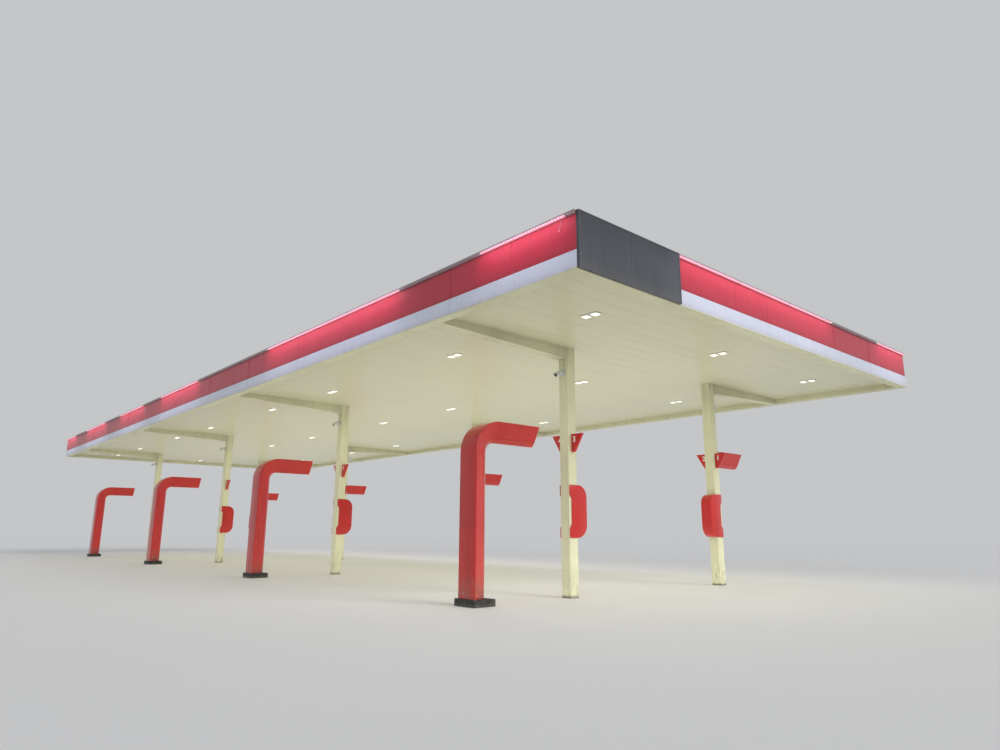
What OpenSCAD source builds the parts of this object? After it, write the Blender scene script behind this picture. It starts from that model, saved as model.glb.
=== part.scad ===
// Filling station canopy: a flat steel roof on eight box columns, with a
// lit fascia, a panned soffit, cantilevered cross beams and red island arches.
// X runs across the roof, Y along it, Z up. The origin is the middle of the
// footprint at paving level.

/* [Layout] */
// Distance between the west and east rows of columns
row_gap = 5486; // [4200:1:7000]
// Overhang of the roof beyond each row of columns
side_overhang = 3657; // [3200:1:4200]
// Distance from one line of columns to the next
line_pitch = 9754; // [8000:1:11000]
// Overhang of the roof beyond the first and last line
end_overhang = 3657; // [3000:1:4200]
// Number of lines of columns
line_count = 4; // [4:1:4]

/* [Heights] */
// Underside of the soffit above the paving
soffit_z = 5180; // [4600:1:6000]
// Height of the fascia
fascia_h = 914; // [800:1:1100]
// How far the fascia hangs below the soffit
fascia_drop = 127; // [90:1:180]
// Height of the white band at the foot of the fascia
white_h = 294; // [200:1:400]

/* [Columns] */
// Width of a box column
col_w = 250; // [200:1:320]
// Wall of a box column
col_wall = 10; // [6:1:16]
// Outer corner radius of a box column
col_corner = 20; // [17:1:40]

/* [Cross beams] */
// Top of the cross beams above the soffit
beam_rise = 520; // [400:1:650]
// Depth of a cantilever arm below the soffit at its column
arm_drop = 250; // [200:1:320]
// Plate thickness of the box-section beam
beam_plate = 12; // [8:1:20]

/* [Soffit deck] */
// Nominal width of one soffit pan
pan_w = 406.4; // [380:0.1:450]
// Height of the standing rib between two pans
rib_h = 76; // [60:1:100]
// Thickness of a standing rib
rib_t = 5; // [3:0.5:8]
// Thickness of the pan sheet
pan_t = 3; // [2:0.5:5]
// Width of the V joint under each rib
joint_w = 12; // [8:1:20]
// Clearance round a beam or column where the deck is cut
deck_gap = 3; // [2:1:10]

/* [Purlins] */
// Depth of a purlin
purlin_h = 250; // [200:1:300]
// Width of a purlin flange
purlin_w = 100; // [80:1:140]
// Thickness of a purlin flange
purlin_flange = 10; // [6:1:14]
// Thickness of a purlin web
purlin_web = 7; // [5:1:12]
// Distance from the roof's edge to the outer purlins
purlin_edge = 650; // [500:1:900]

/* [Gutters and fascia] */
// Width of the gutter trough
gutter_w = 120; // [90:1:160]
// Thickness of the gutter sheet
gutter_t = 3; // [2:0.5:5]
// How far the deck laps over the gutter
deck_lap = 30; // [15:1:50]
// Thickness of a fascia sheet
sheet_t = 4; // [3:0.5:6]
// Depth of the folded edge of a fascia tray
tray_d = 30; // [20:1:40]
// Leg of the fascia frame's angles
angle_leg = 50; // [40:1:60]
// Thickness of the fascia frame's angles
angle_t = 5; // [4:1:8]
// Nominal distance between upright angles
upright_pitch = 1220; // [900:1:1500]
// Depth of a fascia brace
brace_w = 50; // [40:1:70]

/* [Light bars and sign] */
// How far a light bar stands out from the fascia
bar_out = 60; // [50:1:90]
// Height of a light bar
bar_h = 64; // [50:1:90]
// Length of the sign panel
sign_l = 2550; // [1800:1:3200]
// How far the sign panel stands out from the fascia
sign_out = 55; // [40:1:60]
// Width of the sign panel's raised rim
sign_rim = 24; // [15:1:40]
// Depth of the sign face behind its rim
sign_recess = 6; // [3:1:12]

/* [Lamps] */
// Distance of the outer lamp rows from the middle
lamp_row = 4250; // [4000:1:4400]
// Number of pans from a line of columns to its lamps
lamp_pans = 5; // [3:1:8]
// Side of one square lens
lens_w = 150; // [120:1:165]
// Depth of a lens below its bezel
lens_drop = 34; // [20:1:60]
// Bevel round the foot of a lens
lens_bevel = 22; // [10:1:40]
// Thickness of the bezel under the soffit
bezel_t = 8; // [4:1:15]
// Clearance of a lamp between two ribs
lamp_clear = 3; // [2:0.5:6]
// Width of the lamp's flange round its lenses
lamp_flange = 12; // [8:1:16]
// How far the flange laps over the edge of the hole in the deck
lamp_lap = 6; // [4:1:7]
// Height of the lamp housing above the deck
housing_h = 120; // [80:1:160]

/* [Arches] */
// Height of an arch over the paving
arch_h = 3340; // [3000:1:3700]
// Reach of an arch from its outer face to its tip
arch_l = 1610; // [1300:1:1900]
// Width of the blade section across its outer face
blade_w = 480; // [380:1:560]
// Width of the narrow inner edge of the blade section
blade_edge = 60; // [40:1:100]
// Depth of the blade section
blade_d = 390; // [300:1:440]
// Outer radius of the arch's bend
arch_r = 580; // [500:1:650]
// Distance from the roof's edge to the arch
arch_inset = 960; // [700:1:1000]
// Height of the arch's plinth
plinth_h = 125; // [80:1:200]
// How far the plinth stands out round the arch's foot
plinth_lip = 50; // [30:1:80]

/* [Column fittings] */
// Reach of a blade arm from its column
arm_l = 965; // [700:1:1100]
// Height of the top of a blade arm
arm_top = 3350; // [3100:1:3600]
// Height of the top of a number flag
flag_top = 3310; // [3100:1:3500]
// Height of a number flag
flag_h = 380; // [320:1:440]
// Reach of a number flag at its top
flag_l = 300; // [240:1:360]
// Reach of a number flag at its foot
flag_foot = 92; // [80:1:140]
// Thickness of a number flag
flag_t = 62; // [40:1:100]
// Top of a service unit
unit_top = 2250; // [2050:1:2400]
// Height of a service unit
unit_h = 1075; // [950:1:1200]
// How far a service unit stands out from its column
unit_out = 270; // [200:1:320]
// Gap between a column and the cheeks of its service unit
unit_gap = 3; // [2:0.5:8]
// Sheet thickness of a service unit
unit_t = 12; // [8:1:16]
// Height of a camera above the paving
camera_z = 4640; // [4500:1:4750]
// Diameter of a camera body
camera_d = 110; // [80:1:140]
// Length of a camera body
camera_l = 230; // [180:1:300]

/* [Hidden] */
$fn = 64;

roof_w = row_gap + 2 * side_overhang;
roof_l = (line_count - 1) * line_pitch + 2 * end_overhang;
half_w = roof_w / 2;
half_l = roof_l / 2;
row_x = row_gap / 2;
fascia_z = soffit_z - fascia_drop;
fascia_top = fascia_z + fascia_h;
frame_in = tray_d + angle_leg;
gutter_in = frame_in + gutter_w;
rib_top = soffit_z + rib_h;
purlin_top = rib_top + purlin_h;
purlin_rows = 6;
purlin_pitch = 2 * (half_w - purlin_edge) / (purlin_rows - 1);
beam_top = soffit_z + beam_rise;
head_z = soffit_z - arm_drop;
pan_real = line_pitch / round(line_pitch / pan_w);
lamp_l = pan_real - rib_t - 2 * lamp_clear;
lens_pitch = lamp_l - 2 * lamp_flange - lens_w;
arch_x = -half_w + arch_inset;
red_z = fascia_z + white_h;
unit_w = col_w + 2 * (unit_gap + unit_t);
sign_end = -half_w + sign_l;
long_frame = roof_l - 2 * tray_d;
upright_spaces = round(long_frame / upright_pitch);
long_sheet = [-half_l, half_l];
long_fold = [-half_l + tray_d, half_l - tray_d];
north_sheet = [-half_w + sheet_t, half_w - sheet_t];
north_fold = [-half_w + tray_d, half_w - tray_d];
south_sheet = [sign_end, half_w - sheet_t];
south_fold = [sign_end, half_w - tray_d];
eps = 1;

function line_y(i) = -half_l + end_overhang + i * line_pitch;
function upright_y(i) = -long_frame / 2 + i * (long_frame - angle_leg) / upright_spaces;
function purlin_x(row) = (row - (purlin_rows - 1) / 2) * purlin_pitch;
function arc(cx, cy, r, a0, a1, n = 10) =
    [for (i = [0:n]) let(a = a0 + (a1 - a0) * i / n) [cx + r * cos(a), cy + r * sin(a)]];

module rounded_square(w, r) {
    square([w - 2 * r, w], center = true);
    square([w, w - 2 * r], center = true);
    for (x = [-1, 1], y = [-1, 1])
        translate([x * (w / 2 - r), y * (w / 2 - r)])
            circle(r);
}

module box(x0, x1, y0, y1, z0, z1) {
    translate([x0, y0, z0])
        cube([x1 - x0, y1 - y0, z1 - z0]);
}

// Columns: rolled square tubes from the paving to the underside of the beam
module column(side, line) {
    translate([side * row_x, line_y(line - 1), 0])
        linear_extrude(rib_top)
            difference() {
                rounded_square(col_w, col_corner);
                rounded_square(col_w - 2 * col_wall, col_corner - col_wall);
            }
}

module column_tinted(side, line) {
    color([0.90, 0.89, 0.83]) column(side, line);
}

// Cross beams: welded box sections. Each lies on its two columns above the
// deck, and dips below the soffit in a tapered arm outside each column, whose
// end plate stands against the column's face.
function beam_edge(t, reach) =
    let(arm_end = half_w - gutter_in - t, face_out = row_x + col_w / 2 + t)
    [[reach, beam_top - t], [reach, soffit_z + t], [arm_end, soffit_z + t], [arm_end, fascia_z + t],
        [face_out, head_z + t], [face_out, rib_top + t]];

function mirrored(points) =
    [for (i = [len(points) - 1:-1:0]) [-points[i][0], points[i][1]]];

module beam_outline(t, reach) {
    polygon(concat(beam_edge(t, reach), mirrored(beam_edge(t, reach))));
}

module cross_beam(line) {
    tip = half_w - frame_in;
    color([0.82, 0.82, 0.76])
        translate([0, line_y(line - 1), 0])
            rotate([90, 0, 0])
                difference() {
                    linear_extrude(col_w, center = true)
                        beam_outline(0, tip);
                    linear_extrude(col_w - 2 * beam_plate, center = true)
                        beam_outline(beam_plate, tip + eps);
                }
}

// Soffit deck: flat pans laid across the roof, each with a standing rib above
// and a V joint below where it meets the next. One piece covers a bay, cut
// round the arms and pierced for the lamps.
function bay_start(bay) = bay == 0 ? -half_l + gutter_in - deck_lap : line_y(bay - 1);
function bay_end(bay) = bay == line_count ? half_l - gutter_in + deck_lap : line_y(bay);
function lamp_y(line, side) = line_y(line) + side * lamp_pans * pan_real;

module v_joint(half, y) {
    translate([-half, y, soffit_z])
        rotate([90, 0, 90])
            linear_extrude(2 * half)
                polygon([[-joint_w / 2, 0], [0, -eps], [joint_w / 2, 0], [0, 0.8 * pan_t]]);
}

module deck(bay) {
    y0 = bay_start(bay);
    y1 = bay_end(bay);
    edge = half_w - gutter_in + deck_lap;
    notch_in = row_x - col_w / 2 - deck_gap;
    notch_y = col_w / 2 + deck_gap;
    pans = line_pitch / pan_real;
    from_line = bay == 0 ? line_y(0) : y0;
    dir = bay == 0 ? -1 : 1;
    color([0.87, 0.87, 0.80])
        difference() {
            union() {
                box(-edge, edge, y0, y1, soffit_z, soffit_z + pan_t);
                for (i = [0:pans - 1]) {
                    y = from_line + dir * (i + 0.5) * pan_real;
                    if (y > y0 + joint_w && y < y1 - joint_w)
                        box(-edge, edge, y - rib_t / 2, y + rib_t / 2, soffit_z, rib_top);
                }
            }
            for (i = [0:pans - 1]) {
                y = from_line + dir * (i + 0.5) * pan_real;
                if (y > y0 + joint_w && y < y1 - joint_w)
                    v_joint(edge + eps, y);
            }
            for (line = [0:line_count - 1], side = [-1, 1]) {
                x0 = side > 0 ? notch_in : -half_w;
                x1 = side > 0 ? half_w : -notch_in;
                box(x0, x1, line_y(line) - notch_y, line_y(line) + notch_y, soffit_z - eps, rib_top + eps);
            }
            for (line = [0:line_count - 1], side = [-1, 1], x = [-lamp_row, 0, lamp_row])
                translate([x, lamp_y(line, side), soffit_z])
                    lamp_plate(lamp_flange - lamp_lap, -eps, pan_t + eps);
        }
}

// Purlins: rolled I sections along the roof, butted between the cross beams
module purlin_section() {
    translate([-purlin_w / 2, 0])
        square([purlin_w, purlin_flange]);
    translate([-purlin_w / 2, purlin_h - purlin_flange])
        square([purlin_w, purlin_flange]);
    translate([-purlin_web / 2, 0])
        square([purlin_web, purlin_h]);
}

module purlin(x, y0, y1) {
    translate([x, y1, rib_top])
        rotate([90, 0, 0])
            linear_extrude(y1 - y0)
                purlin_section();
}

module purlins() {
    color([0.62, 0.63, 0.62])
        for (row = [0:purlin_rows - 1], bay = [0:line_count]) {
            y0 = bay == 0 ? -half_l + frame_in : line_y(bay - 1) + col_w / 2;
            y1 = bay == line_count ? half_l - frame_in : line_y(bay) - col_w / 2;
            purlin(purlin_x(row), y0, y1);
        }
}

// Gutters on the long sides and matching trims on the ends: a trough whose
// inner wall carries the edge of the deck. The arms stop against that wall.
module trough(length) {
    rotate([90, 0, 0])
        linear_extrude(length, center = true)
            difference() {
                translate([frame_in, fascia_z])
                    square([gutter_w, fascia_drop]);
                translate([frame_in + gutter_t, fascia_z + gutter_t])
                    square([gutter_w - 2 * gutter_t, fascia_drop]);
            }
}

module long_side(side) {
    scale([side, 1, 1])
        translate([half_w, 0, 0])
            scale([-1, 1, 1])
                children();
}

module short_side(side) {
    rotate([0, 0, side > 0 ? 90 : -90])
        translate([half_l, 0, 0])
            scale([-1, 1, 1])
                children();
}

module gutters() {
    color([0.84, 0.84, 0.78])
        for (side = [-1, 1])
            long_side(side)
                trough(roof_l - 2 * frame_in);
}

module end_trims() {
    color([0.84, 0.84, 0.78])
        for (side = [-1, 1])
            short_side(side)
                trough(roof_w - 2 * gutter_in);
}

// Fascia frame: rolled angles behind the trays, three rails and uprights
module angle_rail(z, length, turned) {
    translate([tray_d, 0, z])
        rotate([90, 0, 0])
            linear_extrude(length, center = true)
                union() {
                    square([angle_t, angle_leg]);
                    translate([0, turned ? angle_leg - angle_t : 0])
                        square([angle_leg, angle_t]);
                }
}

module upright() {
    translate([tray_d, 0, fascia_z])
        linear_extrude(fascia_h - sheet_t)
            union() {
                square([angle_t, angle_leg]);
                square([angle_leg, angle_t]);
            }
}

// A flat bar from an upright down to the top flange of a purlin
module brace() {
    z1 = fascia_top - sheet_t - angle_leg;
    translate([0, angle_t, 0])
        rotate([90, 0, 0])
            linear_extrude(angle_t)
                polygon([
                    [frame_in, z1], [frame_in, z1 - 1.5 * brace_w],
                    [purlin_edge - brace_w, purlin_top], [purlin_edge, purlin_top]
                ]);
}

module rails(length) {
    angle_rail(fascia_z, length, false);
    angle_rail(fascia_z + white_h - angle_leg / 2, length, false);
    angle_rail(fascia_top - sheet_t - angle_leg, length, true);
}

module fascia_frame_long(side) {
    color([0.60, 0.61, 0.60])
        long_side(side) {
            rails(long_frame);
            for (i = [0:upright_spaces])
                translate([0, upright_y(i), 0])
                    upright();
        }
}

module fascia_frame_ends() {
    length = roof_w - 2 * frame_in;
    color([0.60, 0.61, 0.60])
        for (side = [-1, 1])
            short_side(side) {
                rails(length);
                for (end = [-length / 2, length / 2 - angle_leg])
                    translate([0, end, 0])
                        upright();
                for (row = [0:0.5:purlin_rows - 1])
                    translate([0, purlin_x(row), 0])
                        upright();
            }
}

function by_beam(y) =
    min([for (i = [0:line_count - 1]) abs(y + angle_leg / 2 - line_y(i))]) < col_w / 2 + angle_leg;

module fascia_braces() {
    color([0.60, 0.61, 0.60])
        for (side = [-1, 1]) {
            long_side(side)
                for (i = [1:upright_spaces - 1])
                    if (!by_beam(upright_y(i)))
                        translate([0, upright_y(i), 0])
                            brace();
            short_side(side)
                for (row = [0:purlin_rows - 1])
                    translate([0, purlin_x(row), 0])
                        brace();
        }
}

// Fascia trays: sheets with folded edges, red above and white below
module tray(sheet, fold, z0, z1) {
    box(0, sheet_t, sheet[0], sheet[1], z0, z1);
    box(0, tray_d, fold[0], fold[1], z0, z0 + sheet_t);
    box(0, tray_d, fold[0], fold[1], z1 - sheet_t, z1);
}

module fascia_red_long(side) {
    color([0.78, 0.10, 0.15])
        long_side(side)
            tray(long_sheet, long_fold, red_z, fascia_top);
}

module fascia_white_long(side) {
    color([0.86, 0.87, 0.92])
        long_side(side)
            tray(long_sheet, long_fold, fascia_z, red_z);
}

// The trays of the short sides fit between the long ones, and the south pair
// stops at the sign panel
module fascia_red_north() {
    color([0.78, 0.10, 0.15])
        short_side(1)
            tray(north_sheet, north_fold, red_z, fascia_top);
}

module fascia_white_north() {
    color([0.86, 0.87, 0.92])
        short_side(1)
            tray(north_sheet, north_fold, fascia_z, red_z);
}

module fascia_red_south() {
    color([0.78, 0.10, 0.15])
        short_side(-1)
            tray(south_sheet, south_fold, red_z, fascia_top);
}

module fascia_white_south() {
    color([0.86, 0.87, 0.92])
        short_side(-1)
            tray(south_sheet, south_fold, fascia_z, red_z);
}

// Light bars: a channel along the top of each fascia with a rounded lens
module bar_section() {
    back = 20;
    lens_out = bar_out - back;
    translate([-back, 0])
        square([back, bar_h]);
    intersection() {
        translate([-back, bar_h / 2])
            scale([2 * lens_out / bar_h, 1])
                circle(bar_h / 2);
        translate([-bar_out, 0])
            square([lens_out, bar_h]);
    }
}

module light_bar(y0, y1) {
    translate([0, y1, fascia_top - bar_h])
        rotate([90, 0, 0])
            linear_extrude(y1 - y0)
                bar_section();
}

module light_bar_long(side) {
    color([0.93, 0.80, 0.86])
        long_side(side)
            light_bar(-half_l, half_l);
}

module light_bar_north() {
    color([0.93, 0.80, 0.86])
        short_side(1) {
            light_bar(-half_w, half_w);
            turned_corner(-1);
            turned_corner(1);
        }
}

module light_bar_south() {
    color([0.93, 0.80, 0.86])
        short_side(-1) {
            light_bar(sign_end, half_w);
            turned_corner(1);
        }
}

// A quarter turn of the bar round a corner of the roof
module turned_corner(side) {
    translate([0, side * half_w, fascia_top - bar_h])
        rotate([0, 0, side > 0 ? 90 : 180])
            rotate_extrude(angle = 90)
                mirror([1, 0])
                    bar_section();
}

// Sign panel: a shallow box at the south-west corner, its plain face set back
// behind a raised rim
module sign_panel() {
    y_face = -half_l - sign_out;
    x0 = -half_w;
    x1 = sign_end;
    color([0.38, 0.40, 0.44])
        difference() {
            union() {
                box(x0, x1, y_face, -half_l, fascia_z, fascia_top);
                box(x0 + tray_d, x1, -half_l, -half_l + tray_d, fascia_z, fascia_top);
            }
            box(x0 + sign_rim, x1 - sign_rim, y_face - eps, y_face + sign_recess,
                fascia_z + sign_rim, fascia_top - sign_rim);
            box(x0 + tray_d + sheet_t, x1 - sheet_t, y_face + sign_recess + sheet_t, -half_l + tray_d + eps,
                fascia_z + sheet_t, fascia_top - sheet_t);
        }
}

// Lamps: a housing on the deck over each pair of square lenses
module lamp_places() {
    for (line = [0:line_count - 1], side = [-1, 1], x = [-lamp_row, 0, lamp_row])
        translate([x, lamp_y(line, side), soffit_z])
            children();
}

module lamp_plate(margin, z0, z1) {
    w = lens_w / 2 + margin;
    l = (lens_pitch + lens_w) / 2 + margin;
    box(-w, w, -l, l, z0, z1);
}

module lamp_housings() {
    color([0.80, 0.80, 0.78])
        lamp_places() {
            lamp_plate(lamp_flange, pan_t, pan_t + housing_h);
            lamp_plate(lamp_flange - lamp_lap - 1, -eps, pan_t + eps);
            lamp_plate(lamp_flange, -bezel_t, 0);
        }
}

module lens_block() {
    linear_extrude(lens_w, center = true)
        polygon([
            [-lens_w / 2, 0], [-lens_w / 2, -lens_drop / 2], [-lens_w / 2 + lens_bevel, -lens_drop],
            [lens_w / 2 - lens_bevel, -lens_drop], [lens_w / 2, -lens_drop / 2], [lens_w / 2, 0]
        ]);
}

module lamp_lenses() {
    color([0.98, 0.98, 0.95])
        lamp_places()
            for (side = [-1, 1])
                translate([0, side * lens_pitch / 2, -bezel_t])
                    intersection() {
                        rotate([90, 0, 0])
                            lens_block();
                        rotate([90, 0, 90])
                            lens_block();
                    }
}

// Arches: one tapered blade section swept up the post, round the bend and
// along the arm. Its broad face is outside and its narrow edge inside.
module blade_section() {
    shoulder = 20;
    waist = 0.8 * blade_d;
    flare = 70;
    waist_w = blade_edge / 2 + flare;
    polygon([
        [0, -blade_w / 2], [shoulder, -blade_w / 2], [waist, -waist_w], [blade_d, -blade_edge / 2],
        [blade_d, blade_edge / 2], [waist, waist_w], [shoulder, blade_w / 2], [0, blade_w / 2]
    ]);
}

module blade_arm(length) {
    rotate([0, 90, 0])
        linear_extrude(length)
            blade_section();
}

module arch() {
    translate([0, 0, plinth_h])
        linear_extrude(arch_h - arch_r - plinth_h)
            blade_section();
    translate([arch_r, 0, arch_h - arch_r])
        rotate([90, 0, 0])
            rotate([0, 0, 90])
                rotate_extrude(angle = 90)
                    translate([arch_r, 0])
                        mirror([1, 0])
                            blade_section();
    translate([arch_r, 0, arch_h])
        blade_arm(arch_l - arch_r);
}

module arches() {
    color([0.80, 0.10, 0.12])
        for (i = [0:line_count - 1])
            translate([arch_x, line_y(i), 0])
                arch();
}

module arch_plinths() {
    color([0.08, 0.08, 0.08])
        for (i = [0:line_count - 1])
            translate([arch_x - plinth_lip, line_y(i) - blade_w / 2 - plinth_lip, 0])
                cube([blade_d + 2 * plinth_lip, blade_w + 2 * plinth_lip, plinth_h]);
}

// The east columns carry the same blade as a short arm
module blade_arms() {
    color([0.80, 0.10, 0.12])
        for (i = [0:line_count - 1])
            translate([row_x + col_w / 2, line_y(i), arm_top])
                blade_arm(arm_l);
}

// Number flags: tapered plates on the north and south faces of each column
module number_flag() {
    r = 40;
    tip_h = 12;
    slope = atan((flag_l - flag_foot) / (flag_h - tip_h));
    rotate([90, 0, 90])
        linear_extrude(flag_t, center = true)
            polygon(concat(
                [[0, 0], [0, -flag_h]],
                arc(flag_foot - r, -flag_h + r, r, -90, -slope, 6),
                [[flag_l, -tip_h], [flag_l, 0]]
            ));
}

module number_flags() {
    color([0.80, 0.10, 0.12])
        for (i = [0:line_count - 1], row = [-1, 1], side = [-1, 1])
            translate([row * row_x, line_y(i) + side * col_w / 2, flag_top])
                mirror([0, side > 0 ? 0 : 1, 0])
                    number_flag();
}

// Service units: a rolled red hood on the inner side of each column, with
// D-shaped cheeks that clasp the column and a spine plate against it
module unit_profile(inset) {
    back = -col_w / 2;
    front = col_w / 2 + unit_out - inset;
    top = -inset;
    foot = -unit_h + inset;
    r_top = 245 - inset;
    r_foot = 280 - inset;
    notch = 60;
    chamfer = 75;
    cap_h = 200;
    shoe_h = 205;
    polygon(concat(
        [[back, foot], [back, foot + shoe_h], [back + notch, foot + shoe_h + chamfer],
            [back + notch, top - cap_h - chamfer], [back, top - cap_h], [back, top]],
        arc(front - r_top, top - r_top, r_top, 90, 0),
        arc(front - r_foot, foot + r_foot, r_foot, 0, -90)
    ));
}

module service_unit() {
    rotate([90, 0, 0])
        difference() {
            linear_extrude(unit_w, center = true)
                unit_profile(0);
            linear_extrude(unit_w - 2 * unit_t, center = true)
                intersection() {
                    unit_profile(unit_t);
                    translate([col_w / 2 + unit_t, -unit_h])
                        square([unit_out, unit_h]);
                }
            linear_extrude(unit_w - 2 * unit_t, center = true)
                translate([-col_w / 2 - eps, -unit_h - eps])
                    square([col_w + eps, unit_h + 2 * eps]);
        }
}

module service_units() {
    color([0.80, 0.10, 0.12])
        for (i = [0:line_count - 1], row = [-1, 1])
            translate([row * row_x, line_y(i), unit_top])
                mirror([row > 0 ? 1 : 0, 0, 0])
                    service_unit();
}

// Cameras: a wall plate and arm on the outer face of each column, with the
// body turned down over the pump bay
module camera() {
    plate_t = 10;
    plate_w = 120;
    plate_h = 140;
    reach = 150;
    tilt = 25;
    arm_r = 22;
    sag = 20;
    box(0, plate_t, -plate_w / 2, plate_w / 2, -plate_h / 2, plate_h / 2);
    translate([0, 0, -sag])
        rotate([0, 90, 0])
            cylinder(h = reach, r = arm_r);
    translate([reach - arm_r, 0, -2 * sag])
        rotate([0, 90 + tilt, 0])
            cylinder(h = camera_l, r = camera_d / 2, center = true);
}

module cameras() {
    color([0.75, 0.76, 0.76])
        for (i = [0:line_count - 1], row = [-1, 1])
            translate([row * (row_x + col_w / 2), line_y(i), camera_z])
                mirror([row < 0 ? 1 : 0, 0, 0])
                    camera();
}

column_tinted(-1, 1);  // column_a1
column_tinted(-1, 2);  // column_a2
column_tinted(-1, 3);  // column_a3
column_tinted(-1, 4);  // column_a4
column_tinted(1, 1);  // column_b1
column_tinted(1, 2);  // column_b2
column_tinted(1, 3);  // column_b3
column_tinted(1, 4);  // column_b4
cross_beam(1);  // cross_beam_1
cross_beam(2);  // cross_beam_2
cross_beam(3);  // cross_beam_3
cross_beam(4);  // cross_beam_4
deck(0);  // deck_1
deck(1);  // deck_2
deck(2);  // deck_3
deck(3);  // deck_4
deck(4);  // deck_5
purlins();
gutters();
end_trims();
fascia_frame_long(-1);  // fascia_frame_west
fascia_frame_long(1);  // fascia_frame_east
fascia_frame_ends();
fascia_braces();
fascia_red_long(-1);  // fascia_red_west
fascia_red_long(1);  // fascia_red_east
fascia_red_south();
fascia_red_north();
fascia_white_long(-1);  // fascia_white_west
fascia_white_long(1);  // fascia_white_east
fascia_white_south();
fascia_white_north();
light_bar_long(-1);  // light_bar_west
light_bar_long(1);  // light_bar_east
light_bar_south();
light_bar_north();
sign_panel();
lamp_housings();
lamp_lenses();
arches();
arch_plinths();
blade_arms();
number_flags();
service_units();
cameras();
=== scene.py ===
"""Dresses the filling station canopy: paints and weathering on the steelwork, the
light bars, lamps, arches, flags and fittings in full detail, and a plain studio."""

import functools
import math

import bmesh
import bpy
from mathutils import Euler, Matrix, Vector


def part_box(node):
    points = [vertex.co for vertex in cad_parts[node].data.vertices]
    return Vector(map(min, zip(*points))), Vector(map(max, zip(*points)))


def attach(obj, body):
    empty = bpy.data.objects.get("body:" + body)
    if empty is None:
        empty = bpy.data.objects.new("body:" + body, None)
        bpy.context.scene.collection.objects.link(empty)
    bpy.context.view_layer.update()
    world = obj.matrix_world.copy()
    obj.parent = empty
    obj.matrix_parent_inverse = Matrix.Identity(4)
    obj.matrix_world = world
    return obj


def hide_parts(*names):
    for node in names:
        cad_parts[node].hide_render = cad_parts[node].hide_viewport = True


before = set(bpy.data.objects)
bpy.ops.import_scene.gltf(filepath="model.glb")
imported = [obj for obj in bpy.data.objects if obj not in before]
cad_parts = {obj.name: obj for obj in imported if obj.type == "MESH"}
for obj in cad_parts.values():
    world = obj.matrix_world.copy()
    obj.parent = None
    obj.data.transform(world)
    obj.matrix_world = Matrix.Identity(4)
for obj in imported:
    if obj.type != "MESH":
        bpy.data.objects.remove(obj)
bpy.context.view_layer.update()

bl_info = {
    "name": "Filling station canopy",
    "version": (1, 0, 0),
    "blender": (4, 5, 0),
    "location": "3D View > Sidebar > Canopy",
    "description": "Dresses the packed canopy and sets up its studio",
    "category": "Object",
}

BODY = "root"
SIDES = ("west", "east", "south", "north")
CORNERS = ((-1, -1), (1, -1), (1, 1), (-1, 1))

# Places and sizes of the solids that the pieces fit
RED_LOW, RED_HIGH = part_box("fascia_red_west")
BAR_LOW, BAR_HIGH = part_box("light_bar_west")
HALF_W, HALF_L = -RED_LOW.x, RED_HIGH.y
FASCIA_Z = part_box("fascia_white_west")[0].z
RED_Z, FASCIA_TOP = RED_LOW.z, RED_HIGH.z
BAR_H = BAR_HIGH.z - BAR_LOW.z
BAR_FOOT = FASCIA_TOP - BAR_H
SOFFIT_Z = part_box("deck_1")[0].z
COLUMNS = {row + line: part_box(f"column_{row}{line}") for row in "ab" for line in "1234"}


def centre(column):
    """Where a column stands"""
    low, high = COLUMNS[column]
    return (low.x + high.x) / 2, (low.y + high.y) / 2


LINES = [centre("a" + line)[1] for line in "1234"]
ROW_X = centre("b1")[0]
COLUMN_W = COLUMNS["b1"][1].x - COLUMNS["b1"][0].x
# The soffit has 24 pans between two lines of columns, and rows of three lamps 5 pans from a line
PAN = (LINES[1] - LINES[0]) / 24
LAMPS = [(x, line + s * 5 * PAN) for line in LINES for s in (-1, 1) for x in (-4.25, 0, 4.25)]
# Trays and gutters come in lengths of 10 ft
TRAY = 3.048
# Where the light bar of each side starts and ends, from the side's west or south corner
SIGN_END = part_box("sign_panel")[1].x + HALF_W
SPAN = {
    "west": (0.0, 2 * HALF_L), "east": (0.0, 2 * HALF_L),
    "south": (SIGN_END, 2 * HALF_W), "north": (0.0, 2 * HALF_W),
}

# Directions of the sides: along each, and the turn that lays a part's own Z outwards from it
ALONG = {"west": (0, -1, 0), "east": (0, 1, 0), "south": (1, 0, 0), "north": (1, 0, 0)}
FACING = {
    "west": (0, -math.pi / 2, 0), "east": (0, math.pi / 2, 0),
    "south": (math.pi / 2, 0, 0), "north": (-math.pi / 2, 0, 0),
}
# Lit stretches of the light bars, from a side's west or south corner
LIT = {
    "west": ((0.17, 2.17), (4.64, 10.87), (16.2, 20.1), (22.3, 25.75), (28.2, 31.9), (34.3, 2 * HALF_L)),
    "south": ((SIGN_END, 8.4), (11.0, 2 * HALF_W)),
    "east": ((0.0, 7.3), (9.7, 24.4), (26.8, 2 * HALF_L)),
    "north": ((0.0, 2 * HALF_W),),
}


# Settings


def colour_setting(name, description, default):
    return bpy.props.FloatVectorProperty(
        name=name, description=description, default=default, subtype="COLOR", size=3, min=0, max=1)


def length_setting(name, description, default, low, high):
    return bpy.props.FloatProperty(
        name=name, description=description, default=default, min=low, max=high, unit="LENGTH")


def strength_setting(name, description, high):
    return bpy.props.FloatProperty(name=name, description=description, default=1.0, min=0, max=high)


def angle_setting(name, description, default):
    return bpy.props.FloatProperty(name=name, description=description, default=default, subtype="ANGLE")


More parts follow.
